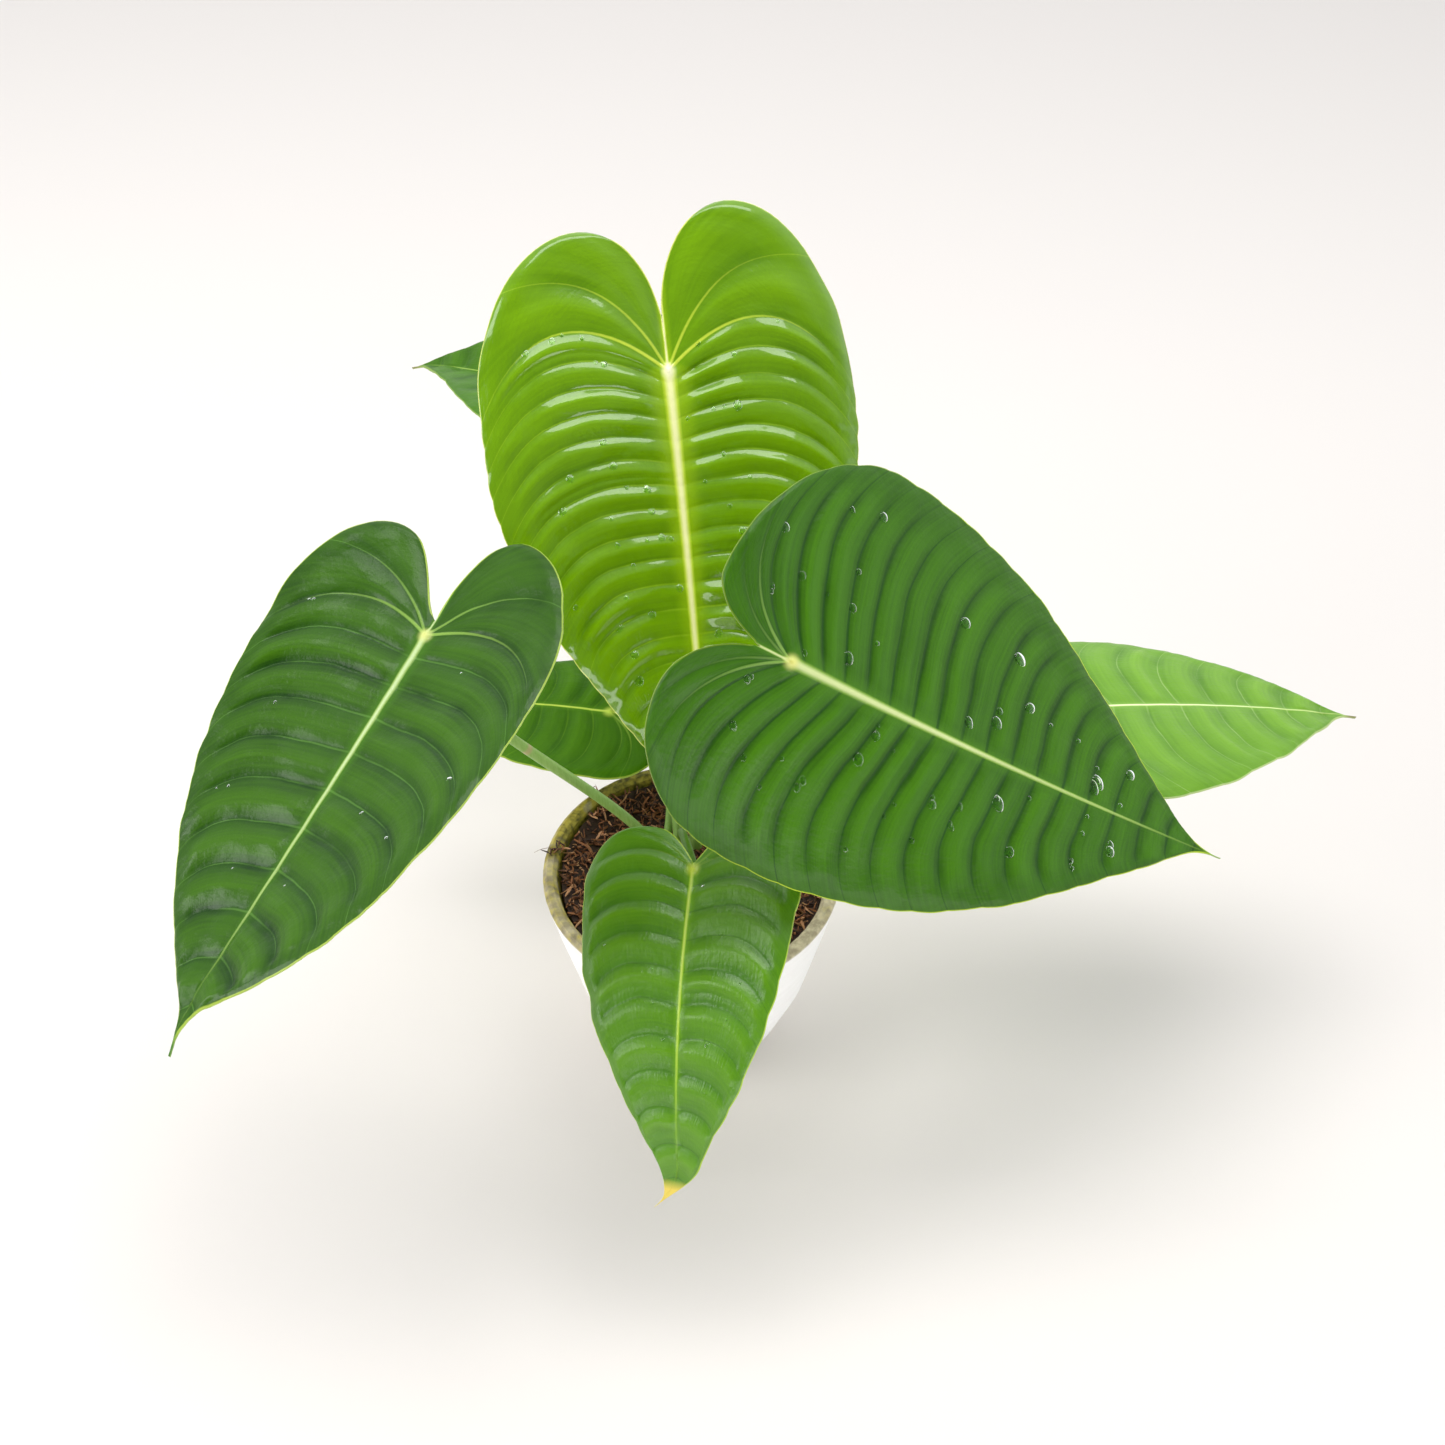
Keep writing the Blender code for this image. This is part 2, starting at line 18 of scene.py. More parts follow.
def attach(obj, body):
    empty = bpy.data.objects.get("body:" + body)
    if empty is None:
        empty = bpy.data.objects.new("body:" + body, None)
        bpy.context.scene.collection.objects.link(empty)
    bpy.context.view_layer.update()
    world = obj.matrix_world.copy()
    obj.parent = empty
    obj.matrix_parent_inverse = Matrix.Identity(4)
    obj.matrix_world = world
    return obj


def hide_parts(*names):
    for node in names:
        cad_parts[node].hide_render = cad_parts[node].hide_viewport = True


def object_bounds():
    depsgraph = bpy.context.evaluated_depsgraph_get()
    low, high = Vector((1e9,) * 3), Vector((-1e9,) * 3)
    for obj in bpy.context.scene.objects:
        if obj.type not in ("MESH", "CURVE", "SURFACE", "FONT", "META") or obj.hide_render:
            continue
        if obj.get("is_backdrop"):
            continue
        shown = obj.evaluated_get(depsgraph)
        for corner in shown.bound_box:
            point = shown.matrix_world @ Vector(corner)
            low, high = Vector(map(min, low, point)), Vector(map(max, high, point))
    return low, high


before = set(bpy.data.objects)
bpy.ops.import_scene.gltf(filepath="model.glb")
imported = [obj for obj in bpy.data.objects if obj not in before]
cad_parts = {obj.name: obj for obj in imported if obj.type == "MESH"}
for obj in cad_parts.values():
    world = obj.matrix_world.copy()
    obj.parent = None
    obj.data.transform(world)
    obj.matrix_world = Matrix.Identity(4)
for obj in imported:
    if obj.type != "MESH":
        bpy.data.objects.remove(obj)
cad_box = [list(corner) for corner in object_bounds()]
MM = 0.001
print("CAD box in mm:", [[round(value / MM, 1) for value in corner] for corner in cad_box])


# %% [markdown]
# Colours are picked as sRGB hex values, the way a colour picker shows them, but shader
# sockets want linear light. One function converts them. Another adds every node and gives
# back its output, so a material reads as a list of steps with their settings and what
# feeds them.

# %% Colour and node helpers
def linear(color):
    """An sRGB hex colour as linear RGBA."""
    channels = [int(color[place:place + 2], 16) / 255 for place in (1, 3, 5)]
    return (*[c / 12.92 if c <= 0.04045 else ((c + 0.055) / 1.055) ** 2.4 for c in channels], 1)


def add_node(material, kind, settings=None, links=None, out=None):
    """Add a node and return an output: the one named, or else the first one in use.

    Settings fill properties or sockets, and links join outputs to sockets.
    """
    node = material.node_tree.nodes.new("ShaderNode" + kind)
    for name, value in (settings or {}).items():
        if isinstance(name, str) and hasattr(node, name):
            setattr(node, name, value)
        else:
            node.inputs[name].default_value = value
    for name, output in (links or {}).items():
        material.node_tree.links.new(output, node.inputs[name])
    return node.outputs[out] if out else next(way for way in node.outputs if way.enabled)


def new_material(name, settings):
    """A material with its Principled shader, whose even values are set on its sockets."""
    material = bpy.data.materials.new(name)
    material.use_nodes = True
    shader = material.node_tree.nodes["Principled BSDF"]
    for socket, value in settings.items():
        shader.inputs[socket].default_value = value
    return material, shader


def feed(material, shader, **outputs):
    """Join outputs to the shader's sockets: Base_Color=..., Roughness=..., Normal=..."""
    for name, output in outputs.items():
        material.node_tree.links.new(output, shader.inputs[name.replace("_", " ")])


# %% [markdown]
# Each new piece becomes a mesh object at the origin, with its place in its mesh, and rides
# on the part's only body. Smooth shading with a sharp angle keeps real edges crisp.

# %% Making a piece
def new_mesh(name, shape):
    """Turn a bmesh into a mesh and free it."""
    mesh = bpy.data.meshes.new(name)
    shape.to_mesh(mesh)
    shape.free()
    return mesh


def new_object(name, data):
    """Put an object into the scene, at the origin."""
    thing = bpy.data.objects.new(name, data)
    bpy.context.scene.collection.objects.link(thing)
    return thing


def add_piece(name, shape, surface, replaced=(), sharp=50):
    """Turn a bmesh into a piece of the part, shaded smooth."""
    mesh = new_mesh(name, shape)
    mesh.shade_smooth()
    mesh.set_sharp_from_angle(angle=math.radians(sharp))
    mesh.materials.clear()
    mesh.materials.append(surface)
    piece = new_object(name, mesh)
    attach(piece, "root")
    if replaced:
        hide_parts(*replaced)
    triangles = sum(len(face.vertices) - 2 for face in mesh.polygons)
    print(f"{name}: {triangles} triangles")


# %% [markdown]
# The camera stands where the photographer stood: in front of the plant and well above it,
# looking 44 degrees down. The frame is square, so the lens length follows from the focal
# length in pixels that the rim's ellipse and the leaves gave.

# %% Camera
PHOTO_WIDTH = 1445
FOCAL_PIXELS = 1855
SENSOR = 36.0
LOOK_DOWN = 44
eye = bpy.data.cameras.new("camera")
eye.sensor_width = SENSOR
eye.lens = SENSOR * FOCAL_PIXELS / PHOTO_WIDTH
eye.clip_start = 0.01
camera = new_object("camera", eye)
camera.location = (0.0155, -0.62, 0.82)
camera.rotation_euler = (math.radians(90 - LOOK_DOWN), 0.0, 0.0)
bpy.context.scene.camera = camera
print("lens in mm:", round(eye.lens, 2))


# %% [markdown]
# The plant stands on a plain pale floor. A wide lamp hangs right above it, like a roof
# window: its reflection falls on the slope just past every side vein of the bright leaf. A
# second one on the left gives the dark leaf there its sheen. Both are out of the mirror
# direction of the faces that look at the camera, so these keep a deep green with no grey
# veil. A weak card on the right and a low one in front light the pot and give the lowest
# leaf its bands. The sky fills the shadows, bright at the back and on the right, and dim
# behind the camera. The Standard view keeps such strong greens.

# %% Floor and light
FLOOR_SIZE = 5.0
SKY_DIM = "#5A6066"
SKY_BRIGHT = "#F4F6FA"
SKY_STRENGTH = 1.3


def build_floor():
    shape = bmesh.new()
    bmesh.ops.create_grid(shape, x_segments=1, y_segments=1, size=FLOOR_SIZE)
    floor = new_object("floor", new_mesh("floor", shape))
    paint, shader = new_material("matt floor paint", {
        "Roughness": 0.9, "Base Color": linear("#E6E0DA")})
    floor.data.materials.append(paint)
    floor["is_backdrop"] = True


def add_lamp(name, place, aim, size, watts, color):
    lamp = bpy.data.lights.new(name, "AREA")
    lamp.shape = "RECTANGLE"
    lamp.size, lamp.size_y = size
    lamp.energy = watts
    lamp.color = linear(color)[:3]
    stand = new_object(name, lamp)
    stand.location = place
    stand.rotation_euler = (Vector(aim) - Vector(place)).to_track_quat("-Z", "Y").to_euler()


def build_sky():
    """A sky that is bright behind the plant and on its right, and dim behind the camera."""
    sky = bpy.data.worlds.new("soft sky")
    sky.use_nodes = True
    back = sky.node_tree.nodes["Background"]
    way = add_node(sky, "TexCoord", out="Generated")
    bright_side = add_node(sky, "VectorMath", {"operation": "DOT_PRODUCT", 1: (0.5, 1.0, 0.0)},
                           {0: way})
    depth = add_node(sky, "MapRange", {1: -0.7, 2: 0.6}, {0: bright_side})
    glow = add_node(sky, "Mix", {
        "data_type": "RGBA", 6: linear(SKY_DIM), 7: linear(SKY_BRIGHT)}, {0: depth})
    feed(sky, back, Color=glow)
    back.inputs["Strength"].default_value = SKY_STRENGTH
    bpy.context.scene.world = sky


build_floor()
build_sky()
add_lamp("roof window", (0.0, 0.16, 2.0), (0.0, 0.1, 0.25), (1.8, 0.75), 22, "#FFFFFF")
add_lamp("left window", (-2.1, -0.6, 1.25), (0.0, 0.0, 0.25), (1.3, 1.3), 30, "#FFFFFF")
add_lamp("right card", (1.7, -1.1, 0.8), (0.0, 0.0, 0.25), (1.2, 1.0), 3.5, "#E2ECFF")
add_lamp("low card", (0.1, -1.7, 0.25), (0.0, 0.0, 0.1), (2.4, 0.35), 12, "#FFFFFF")
bpy.context.scene.view_settings.view_transform = "Standard"


# %% [markdown]
# The blades repeat the layout of the CAD blades, with a few more ribs on the two largest,
# because a real blade has lesser ribs between its main ones. A blade is drawn flat, in parts
# of its length, with x along the midrib and y out to the margin. Side veins run from the
# midrib to the margin: a fan of them round the rear lobe, then ribs up to the tip. A value
# that ends in bias is what the right half has more and the left half less. For the width
# and the lobe it is a share of them. The base, length and heights are in mm.

# %% Values of the leaf blades
USUAL = dict(
    notch=0.03, corner=0.16, notch_angle=30, lobe=0.26, lobe_out=0.55, widest=0.02,
    half_width=0.34, tip_angle=34, tail=-0.3, twist=0.0, sway=0.0, hook=0.0, rise_bias=0.0,
    lobe_bias=0.0, widest_bias=0.0, half_width_bias=0.0, notch_angle_bias=0.0,
    lobe_out_bias=0.0, tip_angle_bias=0.0, fan_end=0.0, fan_bow=0.38, rib_bow=(0.22, 0.32),
    drip=(0.10, 0.032), fan_pleats=3, ripple=0.8, waves=5.0, ridge_at=0.5, valley_power=1.25,
    roughness=1.0, fan_relief=0.45, pleat_fall=0.16, edge_roll=0.4, patchy=0.4,
    rib_width=(0.85, 0.3), basal=(0, 0, 0.8, 0.2))
LEAVES = {
    "back": dict(
        base=(-9.5, 107.5, 342.5), length=226, heading=-80, dip=50.5, roll=0,
        half_width=0.39, lobe=0.31, lobe_out=0.39, notch=0.094, corner=0.38, notch_angle=1,
        widest=0.086, fan_end=0.066, tip_angle=33, droop=0.2, tail=-0.28, rise=10.5, curl=0.8,
        sway=-0.012, lobe_bias=0.06, notch_angle_bias=-3.5, half_width_bias=-0.014,
        fan_bow=0.43, fan_pleats=2, pleats=20, pleat=1.8, ripple=0.5, ridge_at=0.38,
        roughness=1.2, fan_relief=1.1, edge_roll=1.9, patchy=0.9, rib_width=(3.4, 1.1),
        basal=(0, 0.8, 1.0)),
    "left": dict(
        base=(-111, -25.5, 297), length=201, heading=-119.5, dip=21.5, roll=6,
        half_width=0.366, lobe=0.242, lobe_out=0.414, notch=0.038, notch_angle=23,
        widest=0.104, tip_angle=50.5, droop=0.01, tail=-0.74, rise=5.5, rise_bias=-0.5,
        curl=-0.36, twist=0.22, sway=-0.017, hook=0.027, lobe_bias=0.1, widest_bias=0.05,
        notch_angle_bias=-28, lobe_out_bias=-0.107, tip_angle_bias=5.5, fan_end=0.09,
        fan_bow=0.3, rib_bow=(0.12, 0.34), drip=(0.115, 0.046), fan_pleats=2, pleats=11,
        pleat=1.96, ripple=1.0, ridge_at=0.56, valley_power=1.6, roughness=1.3,
        fan_relief=0.7, pleat_fall=0.1, rib_width=(2.0, 0.25), basal=(0, 0.7, 0.9)),
    "front_right": dict(
        base=(43.5, -60, 313.5), length=226, heading=-2, dip=32.5, roll=46,
        half_width=0.399, lobe=0.195, lobe_out=0.30, notch=0.066, corner=0.38, notch_angle=15,
        widest=0.089, tip_angle=36, droop=-0.04, tail=0.02, rise=0, rise_bias=3.8,
        curl=0.72, twist=-0.37, sway=0.033, half_width_bias=0.04, lobe_bias=-0.03,
        lobe_out_bias=-0.055, fan_end=-0.08, fan_bow=0.3, rib_bow=(0.10, 0.30),
        drip=(0.12, 0.046), pleats=18, pleat=1.092, valley_power=2.0, roughness=1.1,
        rib_width=(2.5, 0.2), basal=(0, 0.5, 0.9, 0)),
    "front_low": dict(
        base=(2.5, -74.5, 203), length=156, heading=-98, dip=22, roll=8,
        half_width=0.327, lobe=0.13, lobe_out=0.49, notch=0.017, notch_angle=37, widest=0.0,
        tip_angle=27, droop=0.86, tail=-0.27, rise=7, rise_bias=7, curl=0.81, twist=0.07,
        hook=-0.076, widest_bias=-0.044, half_width_bias=-0.018, fan_bow=0.24,
        drip=(0.11, 0.045), fan_pleats=2, pleats=11, pleat=1.716, ripple=1.4, waves=7.0,
        ridge_at=0.36, roughness=0.65, pleat_fall=0.06, patchy=0.6, rib_width=(1.1, 0.35),
        basal=(0, 0.5, 0.3)),
    "right": dict(
        base=(159.5, 10.5, 219), length=184, heading=13.5, dip=7, roll=-3, tip_angle=36,
        droop=0.23, rise=7, curl=1.24, pleats=10, pleat=1.65, rib_width=(1.1, 0.4)),
    "rear_left": dict(
        base=(-36.5, 189, 261.5), length=165, heading=142, dip=2.5, roll=-9, tip_angle=22,
        droop=0.34, rise=27, curl=1.06, hook=0.024, pleats=9, pleat=1.21),
    "low_left": dict(
        base=(-43.5, 80.5, 151), length=121, heading=166, dip=1.5, roll=-5,
        droop=0.38, rise=5, curl=1.13, widest=0.0, pleats=8, pleat=1.1),
}
THICKNESS = 0.0008
print(len(LEAVES), "leaves, mm long:", [leaf["length"] for leaf in LEAVES.values()])


# %% [markdown]
# Half of a heart-shaped outline is four Bezier curves: round the notch to the rear of the
# lobe, out to the widest point, along the side to the neck, and down the narrow drip tip.
# A handle of 0.55 of its side makes a round quarter, and shorter ones make flatter bows.

# %% Outline of half a blade
ROUND = 0.55
FLAT = 0.45
NECK = 0.42
CURVE_POINTS = 40
NOTCH_POINTS = 30


def one_side(leaf, side):
    """The leaf's values for its left (-1) or right (+1) half."""
    half = dict(leaf)
    for name in ("half_width", "lobe"):
        half[name] = leaf[name] * (1 + side * leaf[name + "_bias"])
    for name in ("widest", "lobe_out", "notch_angle", "tip_angle"):
        half[name] = leaf[name] + side * leaf[name + "_bias"]
    return half


def half_outline(half):
    """Flat outline of half a blade from the notch to the tip, in parts of its length."""
    width, lobe, widest = half["half_width"], half["lobe"], half["widest"]
    notch, out = half["notch"], half["lobe_out"] * half["half_width"]
    lean, slope = math.radians(half["notch_angle"]), math.radians(half["tip_angle"])
    start, rear, broad = Vector((-notch, 0.0)), Vector((-lobe, out)), Vector((widest, width))
    drip_long, drip_wide = half["drip"]
    neck, tip = Vector((1.0 - drip_long, drip_wide)), Vector((1.0, 0.0))
    away = Vector((-math.cos(lean), math.sin(lean))) * ROUND * (lobe - notch)
    back = Vector((-math.cos(slope), math.sin(slope)))
    reach = 1.0 - drip_long - widest
    pull = min(FLAT * drip_long, 0.7 * drip_wide / math.sin(slope))
    pieces = [
        (start, start + away, rear - Vector((0.0, ROUND * out)), rear),
        (rear, rear + Vector((0.0, ROUND * (width - out))),
         broad - Vector((ROUND * (widest + lobe), 0.0)), broad),
        (broad, broad + Vector((FLAT * reach, 0.0)), neck + back * NECK * reach, neck),
        (neck, neck - back * pull, tip - Vector((FLAT * drip_long, 0.0)), tip),
    ]
    points = [start]
    for piece in pieces:
        points += [p.to_2d() for p in interpolate_bezier(*piece, CURVE_POINTS)[1:]]
    return points


def along_line(points, share):
    """A point of a line at a share of its length."""
    steps = [(second - first).length for first, second in zip(points, points[1:])]
    target = sum(steps) * min(1.0, share)
    for first, second, step in zip(points, points[1:], steps):
        if target <= step:
            return first.lerp(second, target / step)
        target -= step
    return points[-1].copy()


def fan_shares(points, fan_end):
    """Shares of the outline where the fan's first vein and its last one reach the margin."""
    lengths = [0.0]
    last = None
    for first, second in zip(points, points[1:]):
        lengths.append(lengths[-1] + (second - first).length)
        if last is None and second.x > fan_end and second.x > first.x:
            last = lengths[-1]
    return lengths[NOTCH_POINTS] / lengths[-1], last / lengths[-1]


# %% [markdown]
# Veins are Bezier curves too. Those of the fan leave the stalk at angles that change evenly
# from the notch to the side. The ribs leave the midrib in steps that widen towards the tip
# and bow back before they bend forward to the margin.

# %% Course of the side veins
RIB_SPREAD = 1.2
FAN_START = 0.4
FAN_HANDLE = 0.36
BOW_FADE = 0.08


def ramp(value, none, full):
    """Share of the way from one value to another, kept between 0 and 1."""
    return min(1.0, max(0.0, (value - none) / (full - none)))


def between(start, first, second, end, q):
    """A point on a Bezier curve."""
    p = 1.0 - q
    return start * p ** 3 + first * 3 * p * p * q + second * 3 * p * q * q + end * q ** 3


def notch_edge(leaf, points, q):
    """A point on the blade's edge: along the midrib's tail first and then round the notch."""
    corner = leaf["corner"]
    if q <= corner:
        return Vector((-leaf["notch"] * q / corner, 0.0))
    return along_line(points[:NOTCH_POINTS + 1], (q - corner) / (1.0 - corner))


def turn_from_back(step):
    """Angle of a step, 0 when it points back along the midrib and pi towards the tip."""
    return math.atan2(step.y, -step.x)


def fan_turns(leaf, points, last_end):
    """Angles at which the fan's first and last veins leave the stalk and meet the margin."""
    swing = math.atan(3.0 * leaf["fan_bow"])
    first = (turn_from_back(notch_edge(leaf, points, FAN_START)),
             turn_from_back(points[NOTCH_POINTS] - points[NOTCH_POINTS - 2]))
    last = (turn_from_back(last_end) - swing, turn_from_back(last_end) + swing)
    return first, last


def fan_vein(turns, share, end, bow, q):
    """A point on a vein of the fan, whose two angles change evenly through the fan."""
    leave, meet = [old + (new - old) * share for old, new in zip(*turns)]
    reach = end.length * (FAN_HANDLE + (math.hypot(1 / 3, bow) - FAN_HANDLE) * share)
    first = Vector((-math.cos(leave), math.sin(leave))) * reach
    second = end - Vector((-math.cos(meet), math.sin(meet))) * reach
    return between(Vector((0.0, 0.0)), first, second, end, q)


def rib_vein(leaf, share, end, q):
    """A point on a rib, a side vein that leaves the midrib."""
    start = Vector((share ** RIB_SPREAD, 0.0))
    fade = math.exp(-share / BOW_FADE)
    slack = ramp(share, 1.0, 0.75)
    near, far = [(bow + (leaf["fan_bow"] - bow) * fade) * slack for bow in leaf["rib_bow"]]
    run = end - start
    back = Vector((-run.y, run.x))
    return between(start, start + run / 3 + back * near, start + run * 2 / 3 + back * far,
                   end, q)


# %% [markdown]
# A half blade is kept as one dictionary. A row across it is told by how many folds it is
# from the notch: whole numbers are side veins, and what lies between is the quilted blade.
# Noise in layers, each as wide and as high as its two numbers say in mm, keeps the veins
# from being too even.

# %% Rows and points of half a blade
VEIN_STRAY = ((21.0, 1.1), (8.0, 0.45))


def half_blade(key, side):
    """What the rows of one half of a blade need, with a seeded swell for every fold."""
    leaf = {**USUAL, **LEAVES[key]}
    outline = half_outline(one_side(leaf, side))
    edge, fan = fan_shares(outline, leaf["fan_end"])
    chance = random.Random(f"{key} {side}")
    folds = leaf["fan_pleats"] + leaf["pleats"]
    return dict(
        leaf=leaf, side=side, outline=outline, edge=edge, fan=fan, folds=folds,
        turns=fan_turns(leaf, outline, along_line(outline, fan)),
        swell=[chance.uniform(0.4, 1.3) for fold in range(folds + 1)],
        crease=[max(0.0, chance.uniform(-0.2, 0.3)) for fold in range(folds + 1)],
        shift=chance.uniform(0, 50))


def row_at(half, folds):
    """The row that many folds from the notch, with the point where it meets the margin."""
    fans = half["leaf"]["fan_pleats"]
    edge, fan = half["edge"], half["fan"]
    if folds < fans:
        share = folds / fans
        reach = edge + (fan - edge) * share
    else:
        share = (folds - fans) / half["leaf"]["pleats"]
        reach = fan + (1.0 - fan) * share
    return dict(folds=folds, is_fan=folds < fans, share=share, reach=reach,
                end=along_line(half["outline"], reach))


def noise_place(half, flat):
    """Where a flat point lies in the noise, in mm. Every half has its own part of it."""
    return Vector((flat.x, flat.y, half["shift"])) * half["leaf"]["length"]


def layered(place, layers):
    """Noise in layers, each with its width and its height."""
    return sum(high * noise.noise(place / wide) for wide, high in layers)


def wobble(half, place, q):
    """A small sideways stray of the veins, none at the midrib and the margin."""
    stray = layered(noise_place(half, place), VEIN_STRAY)
    return Vector((stray / half["leaf"]["length"] * 4.0 * q * (1.0 - q), 0.0))


def scallop(half, row, q):
    """A small way outwards near the margin, which swells a little between two veins."""
    phase = row["folds"] % 1.0
    stray = noise.noise(Vector((row["reach"] * 16.0, half["shift"], 0.0)))
    out = 0.5 * math.sin(math.pi * phase) - 0.25 + 1.3 * stray
    out *= ramp(row["folds"], 0.0, 1.0) * ramp(row["reach"], 1.0, 0.85)
    return Vector((0.0, out / half["leaf"]["length"] * q ** 6))


def flat_point(half, row, q):
    """A point of the flat blade, q = 0 at the midrib and 1 at the margin."""
    leaf, share = half["leaf"], row["share"]
    if not row["is_fan"]:
        place = rib_vein(leaf, share, row["end"], q)
        place += wobble(half, place, q) * min(ramp(share, 0.0, 0.2), ramp(share, 1.0, 0.875))
        return place + scallop(half, row, q)
    outline = half["outline"]
    drawn = fan_vein(half["turns"], share, row["end"], leaf["fan_bow"], q)
    first = fan_vein(half["turns"], 0.0, outline[NOTCH_POINTS], leaf["fan_bow"], q)
    place = drawn + (notch_edge(leaf, outline, q) - first) * (1.0 - share) ** 3
    if 0.0 < share and q < 1.0:
        place.y = max(place.y, 0.1 * share * q)
    return place + scallop(half, row, q)


# %% [markdown]
# The relief is what makes this plant: between two side veins the blade swells like a quilt,
# and the vein lies in a valley. The blade climbs in an even ramp just past a vein, where the
# light catches it, and falls gently to the next one. Some swells have a second, lesser
# valley. Small noise gives the leathery unevenness, and the margin rolls down a little, most
# on the lobes.

# %% Relief of the blade
PLEAT_FULL = 0.11
FAN_PLEAT_FULL = 0.55
PLEAT_END = 0.91
CREASE_AT = 0.66
CREASE_WIDTH = 0.09
PATCH_SIZE = 26.0
GRAIN = ((11.0, 0.5), (4.2, 0.22), (2.1, 0.10))
ROLL = 1.3
ROLL_FROM = 0.88
EDGE_ROLL_FROM = 0.92


def fold_strength(half, row, q):
    """How much of the fold's height is there: none at the midrib, margin and tip."""
    leaf, share = half["leaf"], row["share"]
    fall = ramp(q, PLEAT_END, PLEAT_END - leaf["pleat_fall"])
    inner = ramp(row["folds"] - leaf["fan_pleats"], -1.0, 1.0)
    full = FAN_PLEAT_FULL + (PLEAT_FULL - FAN_PLEAT_FULL) * inner
    rise = ramp(q, 0.0, full) ** (1.5 - 0.5 * inner)
    lobe_size = min(1.0, leaf["lobe"] / USUAL["lobe"]) * leaf["fan_relief"]
    size = lobe_size + (1.0 - lobe_size) * inner
    ends = ramp(share, 0.0, 0.15) if row["is_fan"] else ramp(share, 1.0, 0.88)
    return rise * fall * size * ends


def fold_shape(leaf, phase):
    """Height from -0.5 in the valley at a vein to 0.5 on the ridge between two veins."""
    ridge = leaf["ridge_at"]
    if phase < ridge:
        return 0.5 - (1.0 - phase / ridge) ** leaf["valley_power"]
    return 0.5 - ((phase - ridge) / (1.0 - ridge)) ** leaf["valley_power"]


def relief(half, row, q, flat):
    """Height in mm of the upper face over the smooth blade, and the fold's share of it."""
    leaf = half["leaf"]
    fold = int(min(row["folds"], half["folds"] - 1e-6))
    phase = row["folds"] - fold
    place = noise_place(half, flat)
    shape = fold_shape(leaf, phase)
    shape -= half["crease"][fold] * math.exp(-((phase - CREASE_AT) / CREASE_WIDTH) ** 2)
    shape *= fold_strength(half, row, q)
    shape *= 1 + (half["swell"][fold] - 1) * math.sin(math.pi * phase)
    shape *= 1 + leaf["patchy"] * noise.noise(place / PATCH_SIZE)
    wave = math.sin(math.tau * leaf["waves"] * row["reach"] + half["side"])
    wave *= q ** 3 * ramp(abs(flat.y), 0.0, 0.03) * (1.0 - row["reach"])
    rough = leaf["roughness"] * ramp(q, 0.0, 0.1) * layered(place, GRAIN)
    lobes = ramp(half["side"] - 10.0 * flat.x, -0.5, 0.5)
    roll = ROLL * ramp(q, ROLL_FROM, 1.0) ** 2
    roll += leaf["edge_roll"] * lobes * ramp(q, EDGE_ROLL_FROM, 1.0) ** 2
    roll *= ramp(abs(flat.y), 0.0, 0.05)
    return leaf["pleat"] * shape + leaf["ripple"] * wave + rough - roll, shape


# %% [markdown]
# Flat points are bent into the real pose: the blade droops along its length, its halves
# rise and curl across it, and some leaves twist or sway. The lower face sinks straight down
# from the upper one, more under the midrib, where the real leaf has a stout keel.

# %% Bending a point into place
HOOK_FROM = 0.85


def leaf_frame(leaf):
    """Directions of the midrib, of the right half and of the upper face at the base."""
    turn, dip, roll = (math.radians(leaf[name]) for name in ("heading", "dip", "roll"))
    along = Vector((math.cos(dip) * math.cos(turn), math.cos(dip) * math.sin(turn),
                    -math.sin(dip)))
    level = Vector((-math.sin(turn), math.cos(turn), 0.0))
    across = math.cos(roll) * level + math.sin(roll) * along.cross(level)
    return along, across, along.cross(across)


def bent(leaf, side, flat, height, sink=0.0):
    """Bend a flat point of the blade: droop along it, curl across it, twist and sway."""
    x, y = flat
    bend = leaf["droop"] if x > 0 else leaf["tail"]
    turn = bend * x
    reach = math.sin(turn) / bend
    drop = (1 - math.cos(turn)) / bend
    begin = math.radians(leaf["rise"] + side * leaf["rise_bias"])
    here = begin - leaf["curl"] * y
    out = (math.sin(begin) - math.sin(here)) / leaf["curl"] - height * math.sin(here)
    up = (math.cos(here) - math.cos(begin)) / leaf["curl"] + height * math.cos(here) - sink
    spin = leaf["twist"] * x
    aside = side * out * math.cos(spin) - up * math.sin(spin)
    lift = side * out * math.sin(spin) + up * math.cos(spin)
    aside += leaf["sway"] * x * x + leaf["hook"] * ramp(x, HOOK_FROM, 1.0) ** 2
    return Vector((reach + math.sin(turn) * lift, aside, math.cos(turn) * lift - drop))


def in_place(half, flat, height_mm, sink_mm=0.0):
    """A point of the blade in the part's frame."""
    leaf = half["leaf"]
    length = leaf["length"]
    local = bent(leaf, half["side"], flat, height_mm / length, sink_mm / length)
    along, across, upper = leaf_frame(leaf)
    local *= length * MM
    return Vector(leaf["base"]) * MM + along * local.x + across * local.y + upper * local.z


# %% [markdown]
# Every point of the blade keeps a few distances as attributes. Those to the side vein and to
# the midrib are counted in half widths of that vein, so a line thins out as its vein does.
# The one to the margin is in mm. The material draws veins and the pale rim from them, so
# the lines follow the shape exactly.

